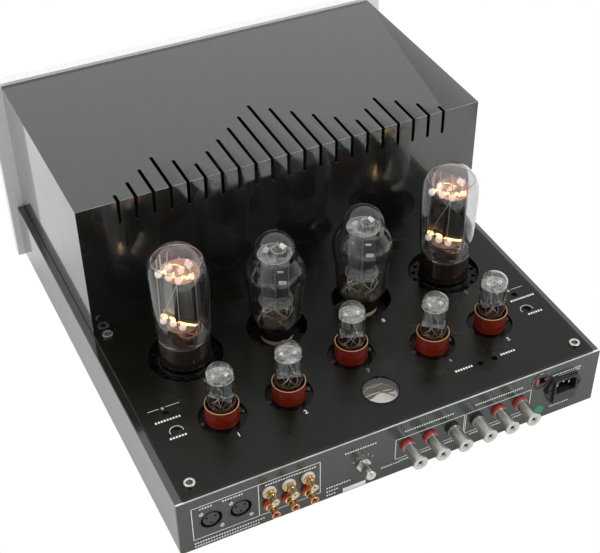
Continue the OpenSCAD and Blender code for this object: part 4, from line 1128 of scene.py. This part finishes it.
class AMP_OT_print(bpy.types.Operator):
    """Lays the white print, the label and the sticker on the deck and the rear panel"""

    bl_idname = "amp.print"
    bl_label = "Lay the print"

    def execute(self, context):
        width = context.scene.amp_finish.line / MM
        number_height = context.scene.amp_finish.number
        rear = []
        for sides in REAR_FRAMES:
            rear += boxed(*sides, width)
        low, high = REAR_FRAMES[0][2:]
        rear.append(stroke((FRAME_DIVIDER, low), (FRAME_DIVIDER, high), width, on_rear))
        for degrees in range(30, 151, 30):
            ends = [circle(r, math.radians(degrees), *SELECTOR_PLACE) for r in SELECTOR_RADII]
            rear.append(stroke(*ends, 0.5, on_rear))
        for left, right, height in REAR_ROWS:
            rear.append(dashes((left, height), (right, height), on_rear, 2.6))
        fitted(joined("rear_print", rear, "white_ink"), CASE, "grey_paint")
        label = block("serial_label", LABEL_SIZE, at(*LABEL_PLACE), 0.03)
        fitted(painted(label, "label_paper"), CASE, "grey_paint")
        sticker = turned("sticker", STICKER_OUTLINE, at(*STICKER_PLACE), REAR)
        fitted(painted(sticker, "green_paper"), CASE, "grey_paint")
        red = dashes(RED_LEFT, RED_RIGHT, on_rear, 1.6)
        red.location.y = RED_LIFT * MM
        fitted(painted(red, "red_ink"), CASE, "black_plastic")

        deck = []
        for side in (1, -1):
            left, right = sorted((side * HUM_OUTER, side * HUM_INNER), reverse=True)
            deck.append(stroke((left, HUM_Y), (left - HUM_LEFT, HUM_Y), 0.45, on_deck))
            deck.append(stroke((right + HUM_RIGHT, HUM_Y), (right, HUM_Y), 0.45, on_deck))
            deck.append(numeral("0", left + ZERO_X, ZERO_Y, ZERO_HEIGHT * MM))
            turns = [math.radians(16 - 17.5 * k) for k in range(13)]
            arc = [circle(ARC_RADIUS, turn, side * ARC_X, ARC_Y) for turn in turns]
            deck += [stroke(a, b, 0.5, on_deck) for a, b in zip(arc, arc[1:])]
        for left, right, y in DECK_ROWS:
            deck.append(dashes((left, y), (right, y), on_deck, 2.9, 2.3))
        spots = [(x, y + SMALL_NUMBER_Y) for x, y in SMALL_PLACES]
        spots += [(x, y + BIG_NUMBER_Y) for x, y in BIG_PLACES]
        for number, (x, y) in enumerate(spots, 1):
            deck.append(numeral(str(number), x + NUMBER_X, y, number_height))
        fitted(joined("deck_print", deck, "white_ink"), CASE, "black_paint")
        return {"FINISHED"}


class AMP_OT_meter(bpy.types.Operator):
    """Prints the meter's card"""

    bl_idname = "amp.meter"
    bl_label = "Print the meter"

    def execute(self, context):
        card = spot_of(at(0, 0, METER_CARD))
        turns = [ZONE_START + (ZONE_END - ZONE_START) * k / 24 for k in range(25)]
        rim = [circle(ZONE_RADIUS, math.radians(turn), METER_X, METER_Y) for turn in turns]
        zone = prism("meter_zone", rim + METER_HILL, card, 0.02, 0.08)
        fitted(painted(zone, "dark_card"), CASE, "white_card")
        lines = []
        for points, width in METER_LINES:
            lines.append(wire("line", [card(x, y, 0.1) for x, y in points], width, 2))
        fitted(joined("meter_lines", lines, "amber_ink"), CASE, "white_card")
        return {"FINISHED"}


def pin_ring(name, x, y, foot, ring, count, radius, length):
    """Round-nosed pins on a circle under a tube base."""
    outline = [(0, -length), (radius * 0.6, -length), (radius, -length + radius * 0.5)]
    outline += [(radius, 0.4), (0, 0.4)]
    place = at(*circle(ring, math.pi / count, x, y), foot)
    pins = around(turned(name, outline, place, steps=16), at(x, y, foot), count)
    return joined(name, pins, "bright_wire")


def disc(spot, height, radius, thickness=0.5, steps=48):
    """A flat round insulator across a tube."""
    outline = band(0, radius, height, height + thickness)[:-1]
    return turned("disc", outline, spot(0, 0, 0), steps=steps)


def ring(place, inner, outer, low, high, steps=48):
    """A plain ring of wire around an axis."""
    return turned("ring", band(inner, outer, low, high), place, steps=steps)


def springs(spot, height, inner, outer, count, radius=0.4):
    """Small hooks from the edge of an insulator to the glass."""
    turn = math.tau * 0.3 / count
    run = [(inner, height), ((inner + outer) / 2, height + 2.6), (outer, height + 1.8)]
    hook = wire("spring", [spot(*circle(r, turn), h) for r, h in run], radius)
    return around(hook, spot(0, 0, 0), count)


def tangle(spot, low, high, reach, count):
    """Bent leads between the foot of a tube and what stands above it."""
    leads = []
    for k in range(count):
        swing = 0.5 + 0.5 * math.sin(1.7 * k)
        places = []
        for step in range(6):
            t = step / 5
            r = reach * (0.35 + swing * math.sin(math.pi * t))
            turn = 2.4 * k + 2.2 * t * (1 if k % 2 else -1)
            places.append(spot(*circle(r, turn), low + (high - low) * t))
        leads.append(wire("lead", places, 0.22 + 0.12 * (k % 3)))
    return leads


def bulb_of(node, outline, wall, deck, steps):
    """The blown glass of a tube."""
    bulb = turned(node + "_glass", shell(outline, wall), deck, steps=steps, degrees=60)
    return painted(bulb, "blown_glass")


def planted(build, nodes, places, turns=None):
    """Builds a tube at the first place and copies it to the others, each for its own body."""
    turns = turns or [0.0] * len(nodes)
    first = build(nodes[0], *places[0])
    sets = [first]
    for node, place, turn in zip(nodes[1:], places[1:], turns[1:]):
        ends = at(*places[0], DECK_TOP), at(*place, DECK_TOP)
        parts = []
        for part in first:
            name = part.name.replace(nodes[0], node)
            parts.append(copied(part, name, *ends, turn - turns[0]))
        sets.append(parts)
    for node, parts in zip(nodes, sets):
        for part in parts:
            fitted(part, frame["nodes"][node]["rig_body"], "tube_glass", node)


def power_tube(node, x, y):
    """The pieces of a large power tube."""
    deck = at(x, y, DECK_TOP)
    spot = spot_of(deck, bpy.context.scene.amp_finish.power_turn)
    base = painted(turned(node + "_base", POWER_BASE, deck, steps=72), "tube_base")
    foot = DECK_TOP + POWER_BASE[0][1]
    pins = pin_ring(node + "_pins", x, y, foot, ring=10, count=4, radius=2.4, length=9.9)
    bulb = bulb_of(node, eased(POWER_GLASS) + arch(28.95, 105, 134.4), 0.8, deck, 72)
    stem = painted(turned(node + "_stem", POWER_STEM, deck, steps=32), "rosy_stem")
    anode = bevelled(prism(node + "_anode", ANODE_PLAN, spot, 51, 98, 1.2), 0.5, 50)
    painted(anode, "graphite")
    # The top insulator glows faintly, a painted glow
    top = painted(named(node + "_top", disc(spot, 119.6, 23.8, 0.4, 64)), "lit_mica")
    low = painted(named(node + "_low", disc(spot, 42.2, 15.5, 0.6)), "low_mica")
    places = [spot(*place, height) for height in BEAD_HEIGHTS for place in BEAD_PLACES]
    bead = turned("bead", BEAD_OUTLINE, places[0], steps=20, degrees=60)
    beads = joined(node + "_beads", repeated(bead, places[0], places[1:]), "white_bead")
    hot = [wire("strand", [spot(*p) for p in places], radius) for places, radius in GLOW_RUNS]
    hot = joined(node + "_filament", hot, "filament")
    # A glowing veil round the filament tops, a painted glow
    haze = turned(node + "_haze", GLOW_VEIL_OUTLINE, spot(-3, -1, 0), steps=32, degrees=60)
    painted(haze, "haze")
    wires = [wire("strut", [spot(*first), spot(*last)], 0.5) for first, last in STRUTS]
    for across in (-18.2, 18.2):
        wires.append(wire("post", [spot(across, 0, 43), spot(across, 0, 119.4)], 0.7))
    wires += springs(spot, 120, 22, 23.6, 4)
    wires.append(ring(deck, 23.1, 23.8, 119.7, 120.3, 64))
    for across, depth in BEAD_PLACES:
        wires.append(wire("hook", [spot(across + a, depth + b, h) for a, b, h in HOOK], 0.6))
    wires = joined(node + "_wires", wires, "rosy_wire")
    leads = tangle(spot, 30.5, 45, 15, 22)
    leads += tangle(spot_of(deck, math.radians(40)), 33, 47, 9, 8)
    leads = joined(node + "_leads", leads, "copper")
    return [base, pins, bulb, stem, anode, top, low, beads, hot, haze, wires, leads]


class AMP_OT_power_tubes(bpy.types.Operator):
    """Builds the two large power tubes"""

    bl_idname = "amp.power_tubes"
    bl_label = "Build the power tubes"

    def execute(self, context):
        places = ((-POWER_X, POWER_Y), (POWER_X, POWER_Y))
        planted(power_tube, ("power_tube_left", "power_tube_right"), places)
        # One half of the right tube's anode is painted paler, a painted sheen
        across = Vector((*circle(1, context.scene.amp_finish.power_turn), 0))
        middle = Vector((POWER_X, POWER_Y, 0))
        anode = bpy.data.objects["power_tube_right_anode"]
        tinted(anode, "pale_anode", lambda p: (p - middle).dot(across) > 1.5)
        return {"FINISHED"}


def driver_tube(node, x, y):
    """The pieces of a waisted driver tube."""
    deck = at(x, y, DECK_TOP)
    turn = bpy.context.scene.amp_finish.driver_turn
    spot = spot_of(deck, turn)
    base = painted(turned(node + "_base", DRIVER_BASE, deck, steps=64), "tube_base")
    foot = DECK_TOP + DRIVER_BASE[0][1]
    pins = pin_ring(node + "_pins", x, y, foot, ring=8, count=4, radius=2.2, length=11.9)
    outline = eased(DRIVER_GLASS) + arch(21.5, 94.5, 115.9)
    bulb = bulb_of(node, outline, 0.7, deck, 72)
    plates = []
    # One plate gets the lit copy and the other the shaded copy, painted light and painted shade
    for middle, kind in ((7.4, "plate_steel"), (-6.9, "shaded_plate")):
        plan = [(middle + across, depth) for across, depth in DRIVER_PLAN]
        plate = bevelled(prism("plate", plan, spot, 38, 82, 0.9), 0.5, 50)
        plates.append(painted(plate, kind))
    plates = joined(node + "_plates", plates)
    # White blocks on the plates, painted highlights
    highlight_blocks = []
    for across, height, wide, tall in HIGHLIGHT_BLOCKS:
        size = (wide, 0.7, tall)
        highlight_blocks.append(block("tab", size, spot(across, 6.5, height), 0.2, (0, 0, turn)))
    highlight_blocks = joined(node + "_tabs", highlight_blocks, "white_tab")
    discs = [disc(spot, 92, 16.7), disc(spot, 35.3, 17)]
    discs = joined(node + "_insulators", discs, "clear_mica")
    skirt = turned(node + "_skirt", SKIRT_OUTLINE, deck, steps=48, degrees=60)
    skin(skirt, "skirt_glass")
    stem = painted(turned(node + "_stem", DRIVER_STEM, deck, steps=32), "amber_stem")
    wires = tangle(spot, 8, 35, 13, 10)
    for across, depth in DRIVER_RODS:
        rod = [spot(across * 0.6, depth, 28), spot(across, depth, 34), spot(across, depth, 94.2)]
        wires.append(wire("rod", rod, 0.35))
    wires += springs(spot, 92.6, 14, 17.6, 6, 0.3)
    for place, radius, height in (
        (spot(-4, 3, 0), 6.4, 99.2), (deck, 16.2, 91.8), (deck, 16.5, 35.1),
    ):
        wires.append(ring(place, radius, radius + 0.5, height, height + 0.6))
    # Small bright blocks low in the tube, painted glints
    for k in range(12):
        place = spot(*circle(12, 1.9 * k), 12 + 1.9 * k)
        wires.append(block("glint", (3.6, 0.5, 2.8), place, 0.1, (0.5 * k, 0.3, 1.3 * k)))
    wires = joined(node + "_wires", wires, "golden_wire")
    film = [(radius - 1.0, height) for radius, height in outline[3:15]]
    smoke = skin(turned(node + "_smoke", film, deck, steps=64, degrees=60), "smoke_flash")
    return [base, pins, bulb, plates, highlight_blocks, discs, skirt, stem, wires, smoke]


class AMP_OT_driver_tubes(bpy.types.Operator):
    """Builds the two waisted driver tubes"""

    bl_idname = "amp.driver_tubes"
    bl_label = "Build the driver tubes"

    def execute(self, context):
        places = ((-DRIVER_X, DRIVER_Y), (DRIVER_X, DRIVER_Y))
        planted(driver_tube, ("driver_tube_left", "driver_tube_right"), places)
        return {"FINISHED"}


def small_tube(node, x, y):
    """The pieces of a small tube."""
    deck = at(x, y, DECK_TOP)
    spot = spot_of(deck, math.radians(SMALL_TURNS[0]))
    base = painted(turned(node + "_base", SMALL_BASE, deck, steps=56), "brick_red")
    tinted(base, "rim_cream", lambda p: p.z > DECK_TOP + 17.5)
    key = painted(turned(node + "_key", KEY_OUTLINE, deck, steps=24), "tube_base")
    foot = DECK_TOP + SMALL_BASE[0][1]
    pins = pin_ring(node + "_pins", x, y, foot, ring=8.7, count=8, radius=1.2, length=10.9)
    bulb = bulb_of(node, [(13.45, 3.2), (13.45, 12), (13.45, 30)] + SMALL_CAP, 0.7, deck, 56)
    plates = []
    for middle in (-5.2, 5.2):
        plan = [(middle + across, depth) for across, depth in SMALL_PLAN]
        plates.append(bevelled(prism("plate", plan, spot, 29, 49.5, 0.6), 0.3, 50))
    plates = joined(node + "_plates", plates, "streaked_plate")
    discs = [prism("mica", MICA_PLAN, spot, 27.4, 27.9), disc(spot, 50.4, 12.6, 0.4)]
    discs = joined(node + "_insulators", discs, "mica")
    cap = [(radius - 0.9, height) for radius, height in SMALL_CAP[:-4]]
    flash = skin(turned(node + "_flash", cap, deck, steps=48, degrees=60), "mirror_flash")
    film = [(12.4, 4), (12.4, 14), (12.4, 22)]
    smoke = skin(turned(node + "_smoke", film, deck, steps=48, degrees=60), "amber_flash")
    wires = tangle(spot, 8, 27, 7, 6)
    for across in SMALL_RODS:
        wires.append(wire("rod", [spot(across, 0, 26), spot(across, 0, 52.5)], 0.4))
    wires += springs(spot, 50.8, 11, 12.4, 6, 0.3)
    wires.append(ring(spot(3, 1, 0), 4.2, 5, 54, 54.8, 24))
    wires.append(ring(deck, 12.1, 12.7, 50.3, 51))
    # Small bright blocks beside the plates, painted glints
    for k in range(5):
        place = spot(-6 + 1.3 * k, 6 + 1.2 * math.sin(2 * k), 30 + 3.6 * k)
        wires.append(block("glint", (2.6, 0.4, 2.2), place, 0.1, (0.7 * k, 0.4, 1.1 * k)))
    wires = joined(node + "_wires", wires, "golden_wire")
    return [base, key, pins, bulb, plates, discs, flash, smoke, wires]


class AMP_OT_small_tubes(bpy.types.Operator):
    """Builds the five small tubes"""

    bl_idname = "amp.small_tubes"
    bl_label = "Build the small tubes"

    def execute(self, context):
        nodes = ["small_tube_%d" % number for number in range(1, 6)]
        planted(small_tube, nodes, SMALL_PLACES, SMALL_TURNS)
        return {"FINISHED"}


def lay_floor():
    """A floor that the camera sees as plain white."""
    deselect()
    bpy.ops.mesh.primitive_plane_add(size=12, location=(0, 0, 0))
    floor = named("floor")
    sheet = bpy.data.materials.new("White floor")
    sheet.use_nodes = True
    tree = sheet.node_tree
    tree.nodes.clear()
    path = add_node(tree, "LightPath", -200, 200).outputs["Is Camera Ray"]
    matte = add_node(tree, "BsdfDiffuse", 0, 100, Color=(0.85, 0.85, 0.85, 1)).outputs[0]
    light = add_node(tree, "Emission", 0, -100).outputs[0]
    mix = add_node(tree, "MixShader", 200, 0, path, matte, light).outputs[0]
    add_node(tree, "OutputMaterial", 400, 0, Surface=mix)
    floor.data.materials.append(sheet)


def light_world(scene):
    """A white world that is brighter from the front than from the rear."""
    world = bpy.data.worlds.new("Studio")
    world.use_nodes = True
    tree = world.node_tree
    way = add_node(tree, "TexCoord", -800, 0).outputs["Generated"]
    split = add_node(tree, "SeparateXYZ", -600, 0, way)
    fade = ramp(tree, -400, 0, split.outputs["Y"], 0.1, 0.8, 0.9, 0.3)
    fade.node.interpolation_type = "SMOOTHSTEP"
    feed_all(tree.nodes["Background"], Color=(1, 1, 1, 1), Strength=fade)
    scene.world = world


def hang_lamps():
    """The square lamps over the object."""
    for name, place, size, power in LAMPS:
        deselect()
        bpy.ops.object.light_add(type="AREA", location=place)
        lamp = bpy.context.object
        lamp.name = name
        lamp.data.shape = "SQUARE"
        lamp.data.size = size
        lamp.data.energy = power
        aim = LAMP_AIM - Vector(place)
        lamp.rotation_euler = aim.to_track_quat("-Z", "Y").to_euler()


def set_camera(scene):
    """The camera, at its place over the rear of the amplifier."""
    turn, rise, roll = CAMERA_TURN, CAMERA_RISE, CAMERA_ROLL
    flat = math.cos(rise)
    back = Vector((-math.sin(turn) * flat, math.cos(turn) * flat, math.sin(rise)))
    right = (-back).cross(UP).normalized()
    up = right.cross(-back)
    across = math.cos(roll) * right + math.sin(roll) * up
    upward = -math.sin(roll) * right + math.cos(roll) * up
    deselect()
    bpy.ops.object.camera_add()
    camera = bpy.context.object
    matrix = Matrix((across, upward, back)).transposed().to_4x4()
    matrix.translation = at(*CAMERA_AIM) + back * CAMERA_DISTANCE
    camera.matrix_world = matrix
    camera.data.sensor_width = SENSOR_WIDTH
    camera.data.lens = FOCAL / PICTURE_WIDTH * SENSOR_WIDTH
    camera.data.shift_x = SHIFT_X / PICTURE_WIDTH
    camera.data.shift_y = SHIFT_Y / PICTURE_WIDTH
    camera.data.clip_start = 0.01
    scene.camera = camera


class AMP_OT_stage(bpy.types.Operator):
    """Adds the floor, lights, world and camera"""

    bl_idname = "amp.stage"
    bl_label = "Build the studio"

    def execute(self, context):
        lay_floor()
        light_world(context.scene)
        hang_lamps()
        set_camera(context.scene)
        context.scene.view_settings.view_transform = "Standard"
        return {"FINISHED"}


class AMP_PT_panel(bpy.types.Panel):
    """Colours, sizes and steps of the amplifier"""

    bl_idname = "AMP_PT_panel"
    bl_label = "Amplifier"
    bl_space_type = "VIEW_3D"
    bl_region_type = "UI"
    bl_category = "Amplifier"

    def draw(self, context):
        for name in AmpFinish.__annotations__:
            self.layout.prop(context.scene.amp_finish, name)
        for kind in CLASSES[1:-1]:
            self.layout.operator(kind.bl_idname)


CLASSES = [
    AmpFinish,
    AMP_OT_solids,
    AMP_OT_jacks,
    AMP_OT_marks,
    AMP_OT_print,
    AMP_OT_meter,
    AMP_OT_power_tubes,
    AMP_OT_driver_tubes,
    AMP_OT_small_tubes,
    AMP_OT_stage,
    AMP_PT_panel,
]


def register():
    for kind in CLASSES:
        bpy.utils.register_class(kind)
    bpy.types.Scene.amp_finish = bpy.props.PointerProperty(type=AmpFinish)


def unregister():
    del bpy.types.Scene.amp_finish
    for kind in reversed(CLASSES):
        bpy.utils.unregister_class(kind)


def main():
    register()
    bpy.ops.amp.solids()
    bpy.ops.amp.jacks()
    bpy.ops.amp.marks()
    bpy.ops.amp.print()
    bpy.ops.amp.meter()
    bpy.ops.amp.power_tubes()
    bpy.ops.amp.driver_tubes()
    bpy.ops.amp.small_tubes()
    bpy.ops.amp.stage()


if __name__ == "__main__":
    main()
